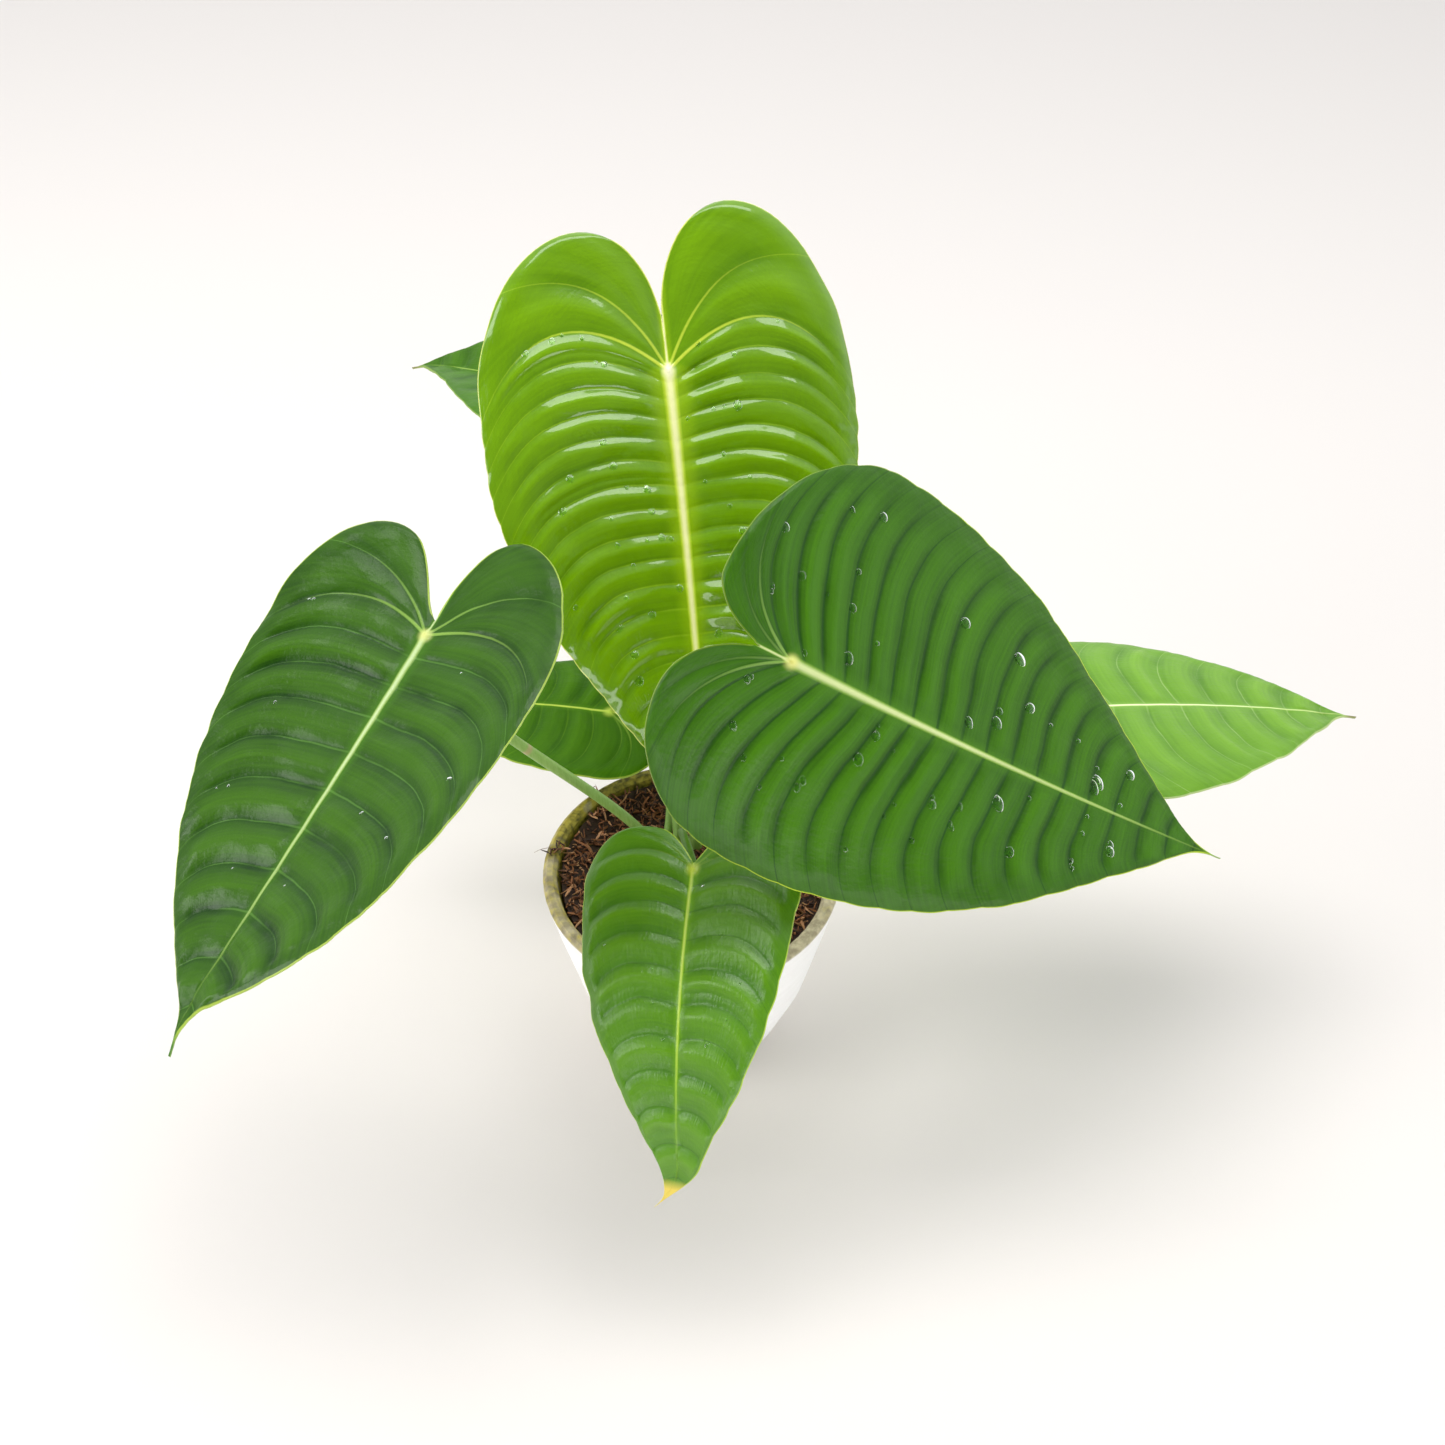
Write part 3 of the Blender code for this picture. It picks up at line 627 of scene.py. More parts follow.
# %% Midrib, veins and margin
RIB_TAPER = 0.7
TAIL_WIDTH = 0.75
TAIL_START = 0.02
RIB_HEIGHT = 0.4
BASAL_HEIGHT = 0.4
VEIN_WIDTH = (0.8, 0.25)
NO_VEIN = 20.0
KEEL = (1.8, 0.3)
KEEL_WIDTH = 1.2
BUMP_RADIUS = 3.4
BUMP_HEIGHT = 0.6
ROWS_A_FOLD = 14
ACROSS = [0, .006, .012, .02, .03, .045, .065, .09, .12, .16, .2, .24, .285, .33, .38, .43,
          .48, .53, .58, .63, .68, .73, .775, .82, .85, .875, .9, .925, .945, .96, .972, .982,
          .992, 1]
FIELDS = ("vein", "pale", "midrib", "margin", "fold", "reach", "bump", "under")


def tapered(ends, share):
    """A size that changes evenly along the blade, from its base to its tip."""
    return ends[0] + (ends[1] - ends[0]) * ramp(share, 0.0, 1.0)


def off_line(line, column, place):
    """Distance from a place to a line of points near one of its columns."""
    before, after = line[max(0, column - 1)], line[min(len(line) - 1, column + 1)]
    way = after - before
    gap = place - line[column]
    if way.length < 1e-9:
        return gap.length
    return abs(way.x * gap.y - way.y * gap.x) / way.length


def blade_cell(half, row, q, flat, vein, margin, strong):
    """Upper point, way down to the lower one and field values at one place."""
    leaf, size = half["leaf"], half["leaf"]["length"]
    height, fold = relief(half, row, q, flat)
    pale = strong * (1.0 - q) ** 1.5
    rib = tapered(leaf["rib_width"], max(0.0, flat.x) ** RIB_TAPER)
    rib *= 1.0 - TAIL_WIDTH * ramp(-flat.x, 0.0, TAIL_START)
    midrib = flat.y * size / rib
    bump = flat.length * size / BUMP_RADIUS
    height += RIB_HEIGHT * rib * math.exp(-midrib ** 2)
    height += BASAL_HEIGHT * pale * math.exp(-vein ** 2)
    height += BUMP_HEIGHT * math.exp(-bump ** 2)
    sink = THICKNESS / MM + tapered(KEEL, flat.x) * math.exp(-(midrib / KEEL_WIDTH) ** 2)
    upper = in_place(half, flat, height)
    down = in_place(half, flat, height, sink) - upper
    return upper, down, dict(vein=vein, pale=pale, midrib=midrib, margin=margin, fold=fold,
                             reach=flat.x, bump=bump)


def blade_points(half):
    """The cells of half a blade for each row and column."""
    leaf, size = half["leaf"], half["leaf"]["length"]
    rows = [row_at(half, step / ROWS_A_FOLD) for step in range(half["folds"] * ROWS_A_FOLD + 1)]
    flats = [[flat_point(half, row, q) for q in ACROSS] for row in rows]
    table = []
    for number, row in enumerate(rows):
        nearest = round(number / ROWS_A_FOLD)
        line = flats[nearest * ROWS_A_FOLD]
        strong = leaf["basal"][nearest] if nearest <= leaf["fan_pleats"] else 0.0
        cells = []
        for column, q in enumerate(ACROSS):
            flat = flats[number][column]
            vein = off_line(line, column, flat) * size if nearest > 0 else NO_VEIN
            vein /= tapered(VEIN_WIDTH, q * 1.3) * (0.6 + 0.4 * strong)
            margin = (flats[number][-1] - flat).length * size
            if number < ROWS_A_FOLD and q > leaf["corner"]:
                margin = min(margin, off_line(flats[0], column, flat) * size)
            cells.append(blade_cell(half, row, q, flat, vein, margin, strong))
        table.append(cells)
    return table


# %% [markdown]
# The two halves are grids whose rows follow the veins. They are merged along the midrib,
# and the lower face is an extrusion of the upper one, moved by the way that each point
# keeps. The UV map counts folds one way and the way out to the margin the other.

# %% Building a blade
MERGE = 0.00001
RIGHT_HALF_SHIFT = 40


def extruded(shape):
    """Extrude all faces of an open sheet, and return the points of its new side."""
    made = bmesh.ops.extrude_face_region(shape, geom=shape.faces[:], use_keep_orig=True)
    return [part for part in made["geom"] if isinstance(part, bmesh.types.BMVert)]


def build_half(shape, key, side):
    table = blade_points(half_blade(key, side))
    rows, columns = len(table) - 1, len(ACROSS) - 1
    down = shape.verts.layers.float_vector["down"]
    chart = shape.loops.layers.uv["veins"]
    layers = {name: shape.verts.layers.float[name] for name in FIELDS}
    grid = bmesh.ops.create_grid(shape, x_segments=rows, y_segments=columns, size=1.0)
    spots = {}
    for point in grid["verts"]:
        row = round((point.co.x + 1.0) / 2.0 * rows)
        column = round((point.co.y + 1.0) / 2.0 * columns)
        spots[point] = (row / ROWS_A_FOLD, ACROSS[column])
        point.co, point[down], values = table[row][column]
        for name, value in values.items():
            point[layers[name]] = value
    for face in {face for point in grid["verts"] for face in point.link_faces}:
        for corner in face.loops:
            folds, q = spots[corner.vert]
            corner[chart].uv = (folds + (RIGHT_HALF_SHIFT if side > 0 else 0), q)


def build_blade(key, surface):
    shape = bmesh.new()
    down = shape.verts.layers.float_vector.new("down")
    shape.loops.layers.uv.new("veins")
    for name in FIELDS:
        shape.verts.layers.float.new(name)
    for side in (-1, 1):
        build_half(shape, key, side)
    bmesh.ops.remove_doubles(shape, verts=shape.verts[:], dist=2 * MERGE)
    bmesh.ops.dissolve_degenerate(shape, edges=shape.edges[:], dist=MERGE)
    bmesh.ops.recalc_face_normals(shape, faces=shape.faces[:])
    upper = leaf_frame(LEAVES[key])[2]
    if sum(face.normal.dot(upper) * face.calc_area() for face in shape.faces) < 0:
        bmesh.ops.reverse_faces(shape, faces=shape.faces[:])
    under = shape.verts.layers.float["under"]
    for point in extruded(shape):
        point.co += point[down]
        point[under] = 1.0
    bmesh.ops.recalc_face_normals(shape, faces=shape.faces[:])
    add_piece(f"blade_{key}", shape, surface, [f"leaf_blade_{key}"], sharp=70)


# %% [markdown]
# A living leaf is green tissue under a waxy cuticle. The cuticle gives the gloss, the tissue
# the colour, and a thin blade lets some light through. The palette is this leaf's age: the
# newest is yellow-green and wet, the older ones are dark. Patches of noise keep the green
# from being flat. The ridge colour is painted light on the swells between the veins, and
# the deep colour left in the valleys is painted shade. Pale lines come from the distances;
# on the front right and front low leaves the side lines are dark, painted shade in the vein
# valleys. The palette's colours are painted one over the other in the order of LAYERS, each
# where its mask is.

# %% Leaf finish
def leaf_material(name, paint, gloss, shine, wet, lateral, line=1.6, comb=0.3,
                  rib_end=0.85, lobe_rim=1.0, tip_from=0.95):
    """Fresh leaf: tissue with pale veins under a cuticle that shines."""
    leaf, shader = new_material(name, {
        "Specular IOR Level": shine, "Coat Weight": wet, "Coat Roughness": 0.07})
    field = {name: add_node(leaf, "Attribute", {"attribute_name": name}, out="Fac")
             for name in FIELDS}
    spot = add_node(leaf, "TexCoord", out="Object")
    chart = add_node(leaf, "UVMap", {"uv_map": "veins"})
    patches = add_node(leaf, "TexNoise", {"Scale": 38.0, "Detail": 3.0}, {"Vector": spot})
    streaks, lines = [
        add_node(leaf, "TexNoise", {"Scale": 1.0, "Detail": 2.0}, {"Vector": add_node(
            leaf, "VectorMath", {"operation": "MULTIPLY", 1: stretch}, {0: chart})})
        for stretch in ((2.2, 34, 1), (13, 1.4, 1))]
    lift = add_node(leaf, "MapRange", {1: -0.5, 2: 0.5}, {0: field["fold"]})
    lift = add_node(leaf, "Math", {"operation": "MULTIPLY_ADD", 1: 0.9}, {0: lines, 2: lift})
    strength = {"vein": field["pale"]}
    for layer, source, start, end, first, last in (
            ("halo", field["reach"], 0.4, 0.95, 0.5, 0.0),
            ("side", patches, 0.3, 0.6, 0.0, lateral),
            ("rib", field["reach"], rib_end - 0.2, rib_end + 0.1, 1.0, 0.2),
            ("core", field["reach"], 0.4 * rib_end, rib_end, 1.0, 0.0),
            ("rim", field["reach"], -0.1, 0.2, lobe_rim, 1.0)):
        strength[layer] = add_node(leaf, "MapRange", {1: start, 2: end, 3: first, 4: last},
                                   {0: source})
    color = add_node(leaf, "RGB")
    color.default_value = linear(paint["deep"])
    for layer, source, none, full, blend in (
            ("mid", patches, 0.35, 0.65, "LINEAR"),
            # painted light and shade: the ridge colour lights the swells, and the valleys keep the
            # deep colour
            ("ridge", lift, 0.5, 1.5, "LINEAR"),
            ("halo", field["midrib"], 4.5, 0.7, "SMOOTHSTEP"),
            # on the front right and front low leaves the side colour is dark: painted shade in the
            # vein valleys
            ("side", field["vein"], line, 0.25 * line, "SMOOTHSTEP"),
            ("vein", field["vein"], 1.3, 0.5, "LINEAR"),
            ("rib", field["midrib"], 1.25, 0.75, "LINEAR"),
            ("core", field["midrib"], 0.95, 0.15, "SMOOTHSTEP"),
            ("node", field["bump"], 1.4, 0.0, "SMOOTHSTEP"),
            ("rim", field["margin"], 0.7, 0.25, "LINEAR"),
            ("tip", field["reach"], tip_from, tip_from + 0.03, "LINEAR")):
        feeds = {0: source, 4: strength[layer]} if layer in strength else {0: source}
        mask = add_node(leaf, "MapRange", {"interpolation_type": blend, 1: none, 2: full}, feeds)
        color = add_node(leaf, "Mix", {"data_type": "RGBA", 7: linear(paint[layer])},
                         {0: mask, 6: color})
    under = add_node(leaf, "Mix", {"data_type": "RGBA", 0: 0.45, 7: linear("#B9C98A")},
                     {6: color})
    color = add_node(leaf, "Mix", {"data_type": "RGBA"}, {0: field["under"], 6: color, 7: under})
    rough = add_node(leaf, "MapRange", {3: gloss, 4: gloss + 0.16}, {0: patches})
    wrinkle = add_node(leaf, "Bump", {"Strength": comb, "Distance": 0.0006}, {"Height": streaks})
    for scale, strong, high in ((420.0, 0.5, 0.0004), (1300.0, 0.25, 0.0001)):
        pores = add_node(leaf, "TexNoise", {"Scale": scale, "Detail": 2.0}, {"Vector": spot})
        wrinkle = add_node(leaf, "Bump", {"Strength": strong, "Distance": high},
                           {"Height": pores, "Normal": wrinkle})
    feed(leaf, shader, Base_Color=color, Roughness=rough, Normal=wrinkle)
    return leaf


LAYERS = ("deep", "mid", "ridge", "halo", "side", "vein", "rib", "core", "node", "rim", "tip")
# Each palette's ridge colour is painted light on the swells, and its deep colour is painted shade in
# the valleys.
LEAF_PAINT = {
    "back": "#548000 #628E00 #72A000 #A0C410 #9CC024 #CCDC44 #C4D83C #F0F0AC #FFFCD0 #D8E068 #9CBC20",
    "left": "#103600 #244E00 #3A6600 #467A10 #689840 #8CB04C #84A448 #BCD094 #D8DC84 #A4BC48 #3E7A08",
    # The front right and front low side colours are dark green, painted shade in the vein valleys.
    "front_right":
        "#1C4400 #2C5A00 #407400 #4C8010 #164400 #84AA4C #84A840 #CCD894 #DEDC7C #B8D030 #7CA424",
    "front_low":
        "#3C7000 #4A8000 #5A8E00 #70A40C #386800 #94B830 #90B824 #BCD458 #C0D040 #ACC83C #E0C850",
    "right": "#508400 #609600 #74A81C #7CAC3C #A8C874 #C0DC84 #B4D468 #F0F6C4 #D8E888 #B0C878 #8A8A4A",
    "rear_left":
        "#305C00 #3C6C00 #4A7C00 #508014 #709C38 #90B048 #8CB044 #B8D070 #B8D070 #80A040 #8A8A4A",
    "low_left":
        "#305E00 #3C6C00 #4A7C00 #588C0E #74A01C #90B044 #98BC3C #C8DC58 #C8DC58 #98B03C #8A9A40",
}
LEAF_GLOSS = {
    "back": dict(gloss=0.14, shine=0.12, wet=0.95, lateral=0.4, comb=0.45, rib_end=1.2),
    "left": dict(gloss=0.26, shine=0.24, wet=0.06, lateral=0.4, comb=0.12, rib_end=0.8),
    "front_right": dict(gloss=0.32, shine=0.24, wet=0.04, lateral=0.8, line=2.4, rib_end=0.88,
                        lobe_rim=0.2),
    "front_low": dict(gloss=0.28, shine=0.5, wet=0.04, lateral=0.7, line=1.2, rib_end=0.7,
                      tip_from=0.9),
    "right": dict(gloss=0.36, shine=0.4, wet=0.05, lateral=0.5, rib_end=1.0),
    "rear_left": dict(gloss=0.36, shine=0.2, wet=0.0, lateral=0.35),
    "low_left": dict(gloss=0.4, shine=0.12, wet=0.0, lateral=0.35),
}
for key, colors in LEAF_PAINT.items():
    paint = dict(zip(LAYERS, colors.split()))
    finish = leaf_material(f"fresh leaf, {key.replace('_', ' ')}", paint, **LEAF_GLOSS[key])
    build_blade(key, finish)


# %% [markdown]
# A stalk is a round green petiole. It is a curve with a bevel, drawn through the same points
# as the CAD stalk, thicker at its foot and swollen at the knee under the blade.

# %% Stalks
MIX_TOP = 0.108
HOLE_DEPTH = 0.012
CROWN = Vector((-0.005, 0.010, 0.0))
STALK_RING = 0.0135
STALKS = {
    "back": dict(ring=60, thick=5.4, leaves=(0, 20, 90), arrives=(-5, 15, 80)),
    "left": dict(ring=170, thick=5.0, leaves=(3, -1, 41), arrives=(6, -1, 48)),
    "front_right": dict(ring=-32, thick=5.4, leaves=(26, -14, 70), arrives=(20, -20, 65)),
    "front_low": dict(ring=-86, thick=4.2, leaves=(-1, -5, 54), arrives=(9, -37, 1)),
    "right": dict(ring=18, thick=4.8, leaves=(25, 0, 60), arrives=(35, 0, 30)),
    "rear_left": dict(ring=98, thick=4.6, leaves=(-5, 40, 70), arrives=(-5, 40, 40)),
    "low_left": dict(ring=133, thick=3.8, leaves=(8, 34, 22), arrives=(-24, -6, 13)),
}
STALK_POINTS = 48
STALK_FACETS = 6
BEND_START = 0.003
KNEE_LENGTH = 0.012
KNEE_SWELL = 0.22
FOOT_SWELL = 0.25


def stalk_line(key):
    """Points of a stalk from the bottom of its hole to the keel of its blade."""
    stalk, leaf = STALKS[key], LEAVES[key]
    turn = math.radians(stalk["ring"])
    ring = Vector((math.cos(turn), math.sin(turn), 0.0)) * STALK_RING
    foot = CROWN + ring + Vector((0.0, 0.0, MIX_TOP - HOLE_DEPTH))
    ground = Vector((foot.x, foot.y, MIX_TOP + BEND_START))
    upper = leaf_frame(leaf)[2]
    end = Vector(leaf["base"]) * MM - upper * THICKNESS * 1.2
    knee = end - upper * KNEE_LENGTH * 0.45
    curve = interpolate_bezier(
        ground, ground + Vector(stalk["leaves"]) * MM, knee - Vector(stalk["arrives"]) * MM,
        knee, STALK_POINTS)
    return [foot] + list(curve) + [knee.lerp(end, 0.5), end]


def stalk_swell(share):
    """Thickness along the stalk: a wide foot, a slim middle and a swollen knee."""
    knee = KNEE_SWELL * math.exp(-((1.0 - share) / 0.035) ** 2)
    return 1.0 + FOOT_SWELL * ramp(share, 0.2, 0.0) + knee


def strand_shape(strands, radius, facets, capped):
    """A bmesh of round strands. A strand is a list of points with their part of the radius."""
    curve = bpy.data.curves.new("draft", "CURVE")
    curve.dimensions = "3D"
    curve.bevel_depth = radius
    curve.bevel_resolution = facets
    curve.use_fill_caps = capped
    for strand in strands:
        spline = curve.splines.new("POLY")
        spline.points.add(len(strand) - 1)
        for point, (place, part) in zip(spline.points, strand):
            point.co = (*place, 1.0)
            point.radius = part
    draft = new_object("draft", curve)
    shape = bmesh.new()
    shape.from_mesh(draft.to_mesh())
    bpy.data.objects.remove(draft, do_unlink=True)
    return shape


def build_stalk(key, surface):
    line = stalk_line(key)
    strand = [(place, stalk_swell(number / (len(line) - 1))) for number, place in enumerate(line)]
    shape = strand_shape([strand], STALKS[key]["thick"] * MM / 2, STALK_FACETS, capped=True)
    bmesh.ops.remove_doubles(shape, verts=shape.verts[:], dist=MERGE)
    bmesh.ops.recalc_face_normals(shape, faces=shape.faces[:])
    add_piece(f"stalk_{key}", shape, surface, [f"leaf_stalk_{key}"])


# %% [markdown]
# The skin of a petiole is smooth and waxy, with faint stripes along it. Stretched noise on
# object coordinates gives the stripes, since the stalks stand more or less upright. The
# left stalk has a small brown scar, drawn round its place. The front low stalk has a
# darker copy of the skin, which is painted shade.

# %% Stalk finish
SCAR = (-0.0755, -0.0096, 0.2136)


def stalk_material(name, shade, light):
    skin, shader = new_material(name, {"Roughness": 0.42, "Specular IOR Level": 0.3})
    spot = add_node(skin, "TexCoord", out="Object")
    thin = add_node(skin, "VectorMath", {"operation": "MULTIPLY", 1: (900, 900, 60)}, {0: spot})
    stripes = add_node(skin, "TexNoise", {"Scale": 1.0, "Detail": 2.0}, {"Vector": thin})
    color = add_node(skin, "Mix", {
        "data_type": "RGBA", 6: linear(shade), 7: linear(light)}, {0: stripes})
    away = add_node(skin, "VectorMath", {"operation": "DISTANCE", 1: SCAR}, {0: spot})
    scar = add_node(skin, "MapRange", {1: 0.0034, 2: 0.0022}, {0: away})
    color = add_node(skin, "Mix", {"data_type": "RGBA", 7: linear("#B09C74")},
                     {0: scar, 6: color})
    ridges = add_node(skin, "Bump", {"Strength": 0.2, "Distance": 0.0001}, {"Height": stripes})
    feed(skin, shader, Base_Color=color, Normal=ridges)
    return skin


pale_skin = stalk_material("waxy petiole skin, pale", "#70983C", "#98B868")
# a darker copy of the skin, painted shade for the front low stalk
shaded_skin = stalk_material("waxy petiole skin, painted shade", "#345A08", "#588420")
for key in STALKS:
    build_stalk(key, shaded_skin if key == "front_low" else pale_skin)


# %% [markdown]
# The husk isn't level: it is heaped against the wall at the back and on the left. A lumpy
# bed lifts the chips there and hides the flat top of the mix. It is a grid bent into a
# disc, and an extrusion closes it below, inside the mix. Its near-black tint is that of
# damp husk, and also paints the shade in the gaps between the chips.

# %% Husk bed
MIX_RADIUS = 0.0645
BED_RADIUS = 1.015 * MIX_RADIUS
BED_THICK = 0.0012
# the bed's tint: near-black damp husk, and painted shade between the chips
BED_DAMP_AND_SHADE_TINT = 0.12
HEAP = 0.007
LUMP = 0.0014


def on_bed(x, y, lift=0.0):
    """A point on the heaped husk, or some way over it."""
    far = math.hypot(x, y) / MIX_RADIUS
    back_left = 0.5 + (y - x) / MIX_RADIUS / 2.83
    lump = noise.noise(Vector((x, y, 0.0)) * 90.0)
    height = BED_THICK + HEAP * far ** 3 * back_left + LUMP * lump
    return Vector((x, y, MIX_TOP + height + lift))


def build_bed(surface):
    shape = bmesh.new()
    tint = shape.verts.layers.float.new("tint")
    bmesh.ops.create_grid(shape, x_segments=96, y_segments=24, size=1.0)
    for point in shape.verts:
        turn = (point.co.x + 1.0) * math.pi
        far = BED_RADIUS * (point.co.y + 1.0) / 2.0
        point.co = on_bed(far * math.cos(turn), far * math.sin(turn))
        point[tint] = BED_DAMP_AND_SHADE_TINT
    bmesh.ops.remove_doubles(shape, verts=shape.verts[:], dist=MERGE)
    for point in extruded(shape):
        point.co.z = MIX_TOP - 0.001
    bmesh.ops.recalc_face_normals(shape, faces=shape.faces[:])
    add_piece("husk_bed", shape, surface, sharp=80)


# %% [markdown]
# Coarse coco husk is chopped into chips and fibres a few millimetres long, and thousands of
# chips lie on the bed. Each starts as a ball with few faces, is shaken, stretched and laid
# down at a seeded place, so that no two look alike. A few have strayed onto the rim at the
# left. They are made in batches, because bmesh operators slow down in a big bmesh.

# %% Husk chips
CHIPS = 3400
CHIP_BATCHES = 100
PILE = 0.003
STRAY_SHARE = 0.15
STRAY_SPOTS = [(-0.068, 0.013, 0.1206), (-0.051, 0.0505, 0.1206), (-0.0695, 0.010, 0.1206)]


def strewn(chance, reach):
    """A seeded x and y within a reach of the pot's axis."""
    far = reach * math.sqrt(chance.random())
    turn = chance.uniform(0, math.tau)
    return far * math.cos(turn), far * math.sin(turn)


def rough_chip(shape, chance, place, turn, size):
    """Add a small rough curled shred to a bmesh, and return its points."""
    curl = chance.uniform(-0.5, 0.5)
    points = bmesh.ops.create_uvsphere(shape, u_segments=6, v_segments=4, radius=0.5)["verts"]
    for point in points:
        point.co += Vector([chance.uniform(-0.12, 0.12) for axis in range(3)])
        point.co.z += curl * point.co.x ** 2 / size[2] * size[0]
        point.co = place + turn @ Vector([a * b for a, b in zip(point.co, size)])
    return points


def chip_batch(chance, count):
    """A mesh of a few chips."""
    batch = bmesh.new()
    tint = batch.verts.layers.float.new("tint")
    for chip in range(count):
        place = on_bed(*strewn(chance, MIX_RADIUS), PILE * chance.random() ** 1.3)
        if chip == 0 and chance.random() < STRAY_SHARE:
            place = Vector(chance.choice(STRAY_SPOTS)) + Vector((
                chance.gauss(0, 0.002), chance.gauss(0, 0.002), chance.uniform(0, 0.0006)))
        lie = Matrix.Rotation(chance.uniform(0, math.tau), 3, "Z")
        lie @= Matrix.Rotation(chance.gauss(0, 0.55), 3, "Y")
        lie @= Matrix.Rotation(chance.uniform(0, math.tau), 3, "X")
        long = chance.uniform(0.0035, 0.0095)
        size = (long, chance.uniform(0.0007, 0.0017), chance.uniform(0.0004, 0.0009))
        shade = chance.random()
        for point in rough_chip(batch, chance, place, lie, size):
            point[tint] = shade
    return new_mesh("chips", batch)


def build_chips(surface):
    chance = random.Random(11)
    shape = bmesh.new()
    for batch in range(CHIP_BATCHES):
        shape.from_mesh(chip_batch(chance, CHIPS // CHIP_BATCHES))
    bmesh.ops.recalc_face_normals(shape, faces=shape.faces[:])
    add_piece("husk_chips", shape, surface, sharp=35)


# %% [markdown]
# Damp husk is dark reddish brown and dull, and a few dry chips are tan. The tint of each
# chip picks its colour, and fine noise gives its fibre. The darkest tone, on the bed and
# the mix, is also painted shade between the chips.

# %% Husk finish
def husk_material():
    husk, shader = new_material("chopped coco husk", {"Roughness": 0.75})
    tint = add_node(husk, "Attribute", {"attribute_name": "tint"}, out="Fac")
    spot = add_node(husk, "TexCoord", out="Object")
    grain = add_node(husk, "TexNoise", {"Scale": 900.0, "Detail": 4.0}, {"Vector": spot})
    color = add_node(husk, "Mix", {
        "data_type": "RGBA", 6: linear("#4C2A16"), 7: linear("#B47444")}, {0: grain})
    for tone, none, full, most in (("#180C08", 0.5, 0.15, 0.9), ("#D8A478", 0.75, 1.0, 0.8)):
        mask = add_node(husk, "MapRange", {1: none, 2: full, 4: most}, {0: tint})
        color = add_node(husk, "Mix", {"data_type": "RGBA", 7: linear(tone)},
                         {0: mask, 6: color})
    rough = add_node(husk, "Bump", {"Strength": 0.6, "Distance": 0.0003}, {"Height": grain})
    feed(husk, shader, Base_Color=color, Normal=rough)
    return husk


husk_finish = husk_material()
build_bed(husk_finish)
build_chips(husk_finish)


# %% [markdown]
# Long brown fibres lie among the chips, and one pokes out over the rim on the left. They
# are thin bent curves in one object.

# %% Husk fibres
FIBRES = 110
FIBRE_STEPS = 5
FIBRE_RADIUS = 0.00022
FIBRE_LIFT = 0.003
FIBRE_TINT = 0.4
LOOSE_FIBRE = (Vector((-0.066, 0.012, 0.1205)), math.radians(172), 0.012, 0.001)


def fibre_strand(chance, place, turn, long, rise):
    """Points of a fibre that bends sideways, bows up and thins out."""
    bend = chance.uniform(-0.9, 0.9)
    strand = []
    for step in range(FIBRE_STEPS + 1):
        share = step / FIBRE_STEPS
        way = turn + bend * share
        place = place + Vector((math.cos(way), math.sin(way), 0.0)) * long / FIBRE_STEPS
        lift = Vector((0.0, 0.0, rise * math.sin(math.pi * share * 0.8)))
        strand.append((place + lift, 1.0 - 0.6 * share))
    return strand


def build_fibres(surface):
    chance = random.Random(5)
    ways = [LOOSE_FIBRE]
    for fibre in range(FIBRES):
        place = on_bed(*strewn(chance, 0.9 * MIX_RADIUS), FIBRE_LIFT)
        ways.append((place, chance.uniform(0, math.tau), chance.uniform(0.006, 0.014), 0.002))
    strands = [fibre_strand(chance, *way) for way in ways]
    shape = strand_shape(strands, FIBRE_RADIUS, 0, capped=False)
    tint = shape.verts.layers.float.new("tint")
    for point in shape.verts:
        point[tint] = FIBRE_TINT
    add_piece("husk_fibres", shape, surface)


build_fibres(husk_finish)


# %% [markdown]
# The pot is white painted clay. Broad brush marks run across it, algae stains the rim
# olive, most on the left and at the back, and the inside of the wall is stained brown.

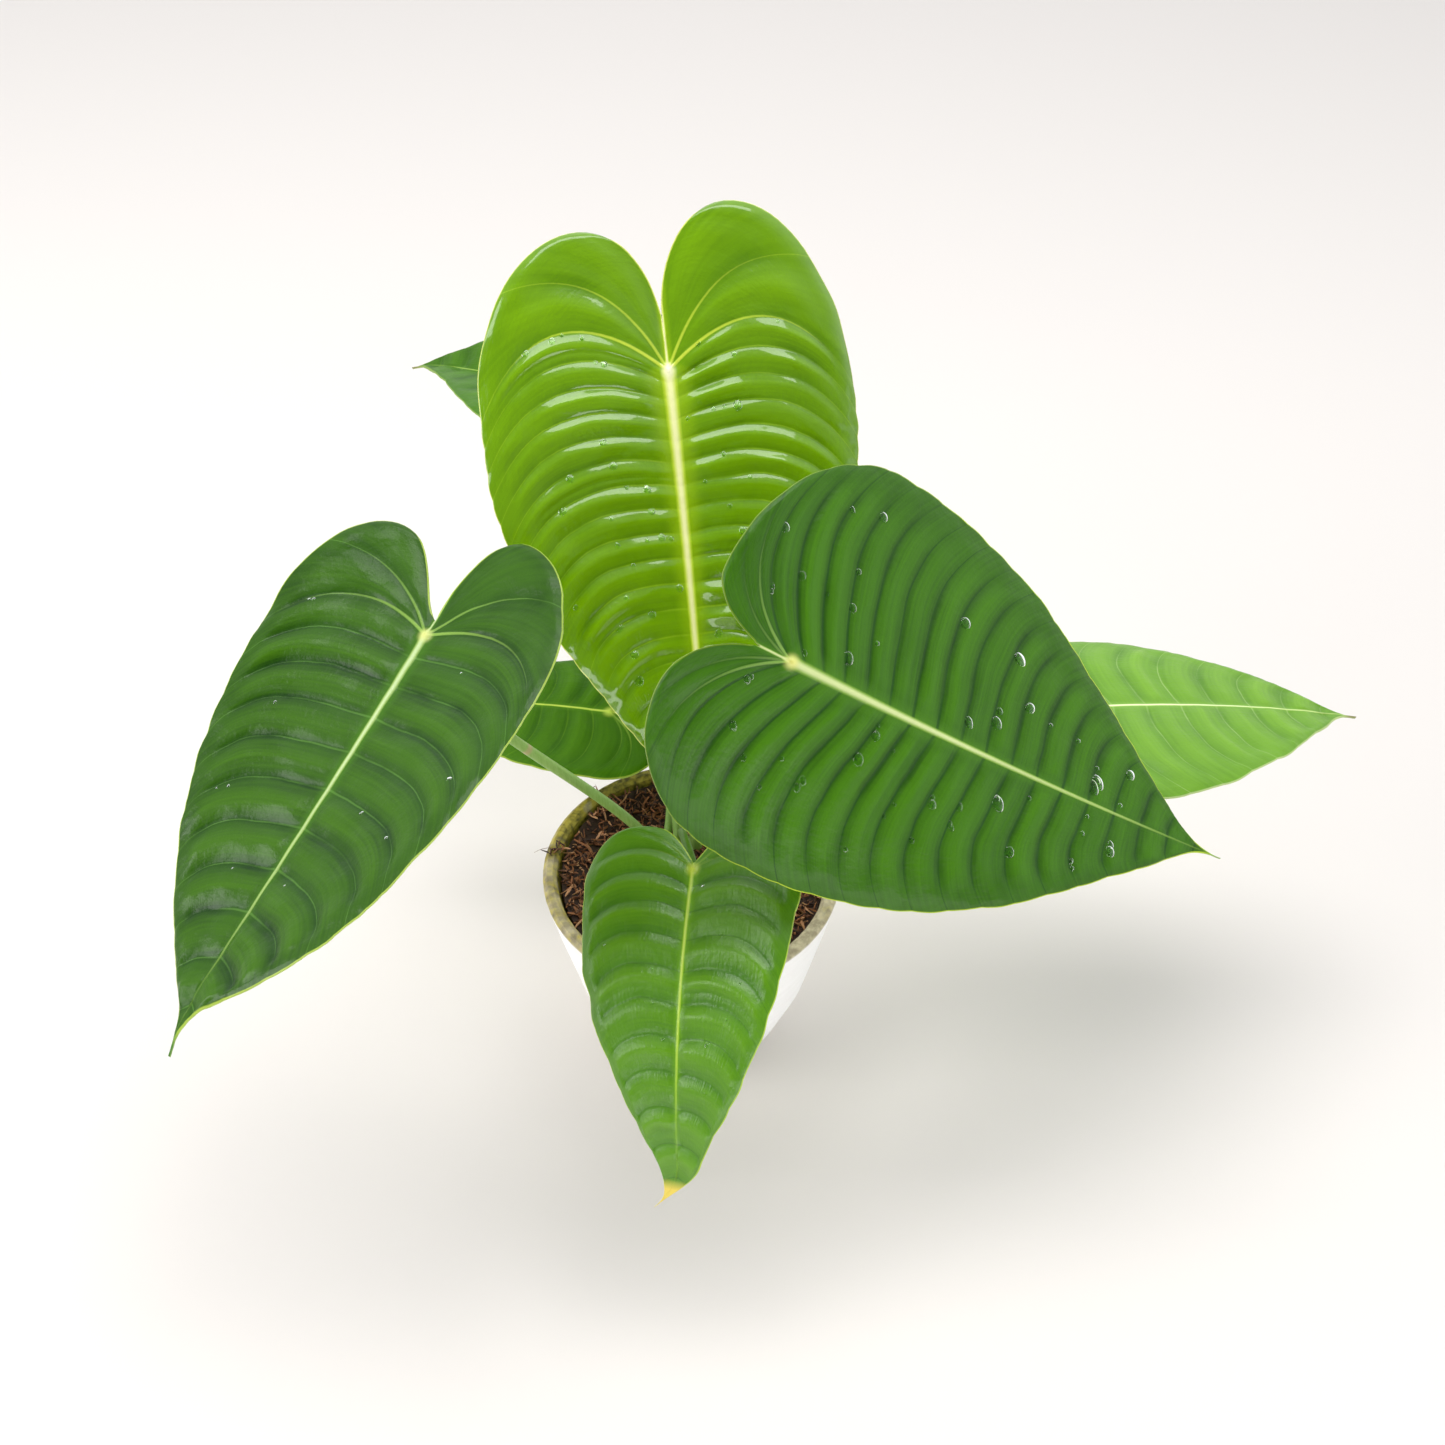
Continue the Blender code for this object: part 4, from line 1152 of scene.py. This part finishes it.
# %% Pot finish
def pot_material():
    clay, shader = new_material("white painted clay", {"Roughness": 0.6})
    spot = add_node(clay, "TexCoord", out="Object")
    slant = add_node(clay, "Mapping", {"Rotation": (0.3, 0.5, 0.0), "Scale": (40, 40, 260)},
                     {"Vector": spot})
    brush, blotch, specks = [
        add_node(clay, "TexNoise", {"Scale": scale, "Detail": detail}, {"Vector": place})
        for scale, detail, place in ((1.0, 4.0, slant), (70.0, 6.0, spot), (280.0, 4.0, spot))]
    height = add_node(clay, "SeparateXYZ", links={0: spot}, out="Z")
    level = add_node(clay, "VectorMath", {"operation": "MULTIPLY", 1: (1, 1, 0)}, {0: spot})
    far = add_node(clay, "VectorMath", {"operation": "LENGTH"}, {0: level})
    top = add_node(clay, "MapRange", {1: 0.1165, 2: 0.1185}, {0: height})
    high = add_node(clay, "MapRange", {1: 0.098, 2: 0.1}, {0: height})
    inner = add_node(clay, "MapRange", {1: 0.0705, 2: 0.0692}, {0: far, 4: high})
    rim = add_node(clay, "Math", {"operation": "MAXIMUM"}, {0: top, 1: inner})
    side = add_node(clay, "VectorMath", {"operation": "DOT_PRODUCT", 1: (-3.5, 2.2, 0.0)},
                    {0: spot})
    growth = add_node(clay, "Math", {"operation": "MULTIPLY_ADD", 1: 1.8}, {0: blotch, 2: side})
    algae = add_node(clay, "MapRange", {1: 0.78, 2: 1.08}, {0: growth, 4: rim})
    dirt = add_node(clay, "Math", {"operation": "MULTIPLY", 1: 0.9}, {0: rim})
    specks = add_node(clay, "MapRange", {1: 0.36, 2: 0.62}, {0: specks})
    white, soil, moss = [
        add_node(clay, "Mix", {"data_type": "RGBA", 6: linear(dark), 7: linear(light)},
                 {0: pattern})
        for dark, light, pattern in (("#F4F2EF", "#FFFEFC", brush), ("#94845C", "#C8BA90", specks),
                                     ("#585010", "#B0A038", specks))]
    color = add_node(clay, "Mix", {"data_type": "RGBA"}, {0: dirt, 6: white, 7: soil})
    color = add_node(clay, "Mix", {"data_type": "RGBA"}, {0: algae, 6: color, 7: moss})
    strokes = add_node(clay, "Bump", {"Strength": 0.35, "Distance": 0.0006}, {"Height": brush})
    feed(clay, shader, Base_Color=color, Normal=strokes)
    return clay


def dress(node, surface):
    """Give a CAD node its finish."""
    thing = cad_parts[node]
    thing.data.materials.clear()
    thing.data.materials.append(surface)


dress("pot", pot_material())
# the mix has no tint, so it takes the darkest husk tone: damp husk and painted shade under the chips
dress("potting_mix", husk_finish)


# %% [markdown]
# The crown is the short stem that the stalks grow from. It is wrapped in the dry brown
# fibres of old leaf sheaths, so its noise is stretched upwards.

# %% Crown finish
def bark_material():
    bark, shader = new_material("dry leaf sheaths", {"Roughness": 0.8})
    spot = add_node(bark, "TexCoord", out="Object")
    tall = add_node(bark, "VectorMath", {"operation": "MULTIPLY", 1: (1100, 1100, 90)}, {0: spot})
    fibre = add_node(bark, "TexNoise", {"Scale": 1.0, "Detail": 3.0}, {"Vector": tall})
    color = add_node(bark, "Mix", {
        "data_type": "RGBA", 6: linear("#3C2A18"), 7: linear("#9A7C50")}, {0: fibre})
    rough = add_node(bark, "Bump", {"Strength": 0.7, "Distance": 0.0004}, {"Height": fibre})
    feed(bark, shader, Base_Color=color, Normal=rough)
    return bark


dress("crown", bark_material())


# %% [markdown]
# Drops of water stand on the leaves after watering. Water rounds up on the waxy cuticle
# and gathers in the valleys. Each drop is a squashed ball that sits a little into the leaf.
# Its lower half is nearly flat, so that it stays within the thin blade.

# %% Water drops
DROPS = {
    "back": dict(count=70, size=(1.0, 2.3), stretch=1.25),
    "front_right": dict(count=58, size=(0.9, 2.7), stretch=1.7),
    "left": dict(count=12, size=(0.5, 1.1), stretch=1.1),
    "front_low": dict(count=9, size=(0.5, 1.1), stretch=1.1),
}
DROP_HEIGHT = 0.34
DROP_BULGE = 0.18
DROP_UNDERSIDE = 0.2
DROP_SUNK = 0.08


def blade_place(half, folds, q):
    """A point on the upper face of half a blade."""
    row = row_at(half, folds)
    flat = flat_point(half, row, q)
    return in_place(half, flat, relief(half, row, q, flat)[0])


def leaf_spot(half, folds, q):
    """Place and upward direction on a blade."""
    place = blade_place(half, folds, q)
    onward = blade_place(half, folds + 0.15, q) - place
    outward = blade_place(half, folds, q + 0.02) - place
    up = onward.cross(outward).normalized()
    if up.dot(leaf_frame(half["leaf"])[2]) < 0:
        up = -up
    return place, up


def build_drops(key, plan, surface):
    chance = random.Random(f"drops {key}")
    halves = [half_blade(key, side) for side in (-1, 1)]
    shape = bmesh.new()
    for drop in range(plan["count"]):
        half = chance.choice(halves)
        folds = chance.randrange(2, half["folds"] - 3) + chance.uniform(0.02, 0.2)
        place, up = leaf_spot(half, folds, chance.uniform(0.06, 0.8))
        low, high = plan["size"]
        radius = (low + (high - low) * chance.random() ** 2) * MM
        fall = (Vector((0, 0, -1)) + up * up.z).normalized()
        turn = Matrix((up.cross(fall), fall, up)).transposed()
        size = (radius, radius * chance.uniform(1.0, plan["stretch"]), radius * DROP_HEIGHT)
        made = bmesh.ops.create_icosphere(shape, subdivisions=3, radius=1.0)["verts"]
        for point in made:
            bulge = 1.0 + DROP_BULGE * point.co.y * (1.0 - abs(point.co.z))
            local = Vector([a * b for a, b in zip(point.co, size)]) * bulge
            local.z *= DROP_UNDERSIDE if local.z < 0 else 1.0
            point.co = place + turn @ local - up * radius * DROP_SUNK
    add_piece(f"drops_{key}", shape, surface)


def water_material():
    water, shader = new_material("water, tinted as painted shade", {
        "Roughness": 0.06, "IOR": 1.33, "Specular IOR Level": 0.1, "Transmission Weight": 1.0})
    spot = add_node(water, "TexCoord", out="Object")
    tint_patches = add_node(water, "TexNoise", {"Scale": 300.0}, {"Vector": spot})
    # The light green tint is painted shade: the leaf seen through a drop turns a darker green.
    color = add_node(water, "Mix", {
        "data_type": "RGBA", 6: linear("#DCF4C0"), 7: linear("#F0FFE0")}, {0: tint_patches})
    feed(water, shader, Base_Color=color)
    return water


water = water_material()
for key, plan in DROPS.items():
    build_drops(key, plan, water)


# %% [markdown]
# Last, the box of the dressed model is printed, as that of the CAD model was at the start.

# %% Sizes and the end
visual_box = [list(corner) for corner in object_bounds()]
print("visual box in mm:", [[round(value / MM, 1) for value in c] for c in visual_box])
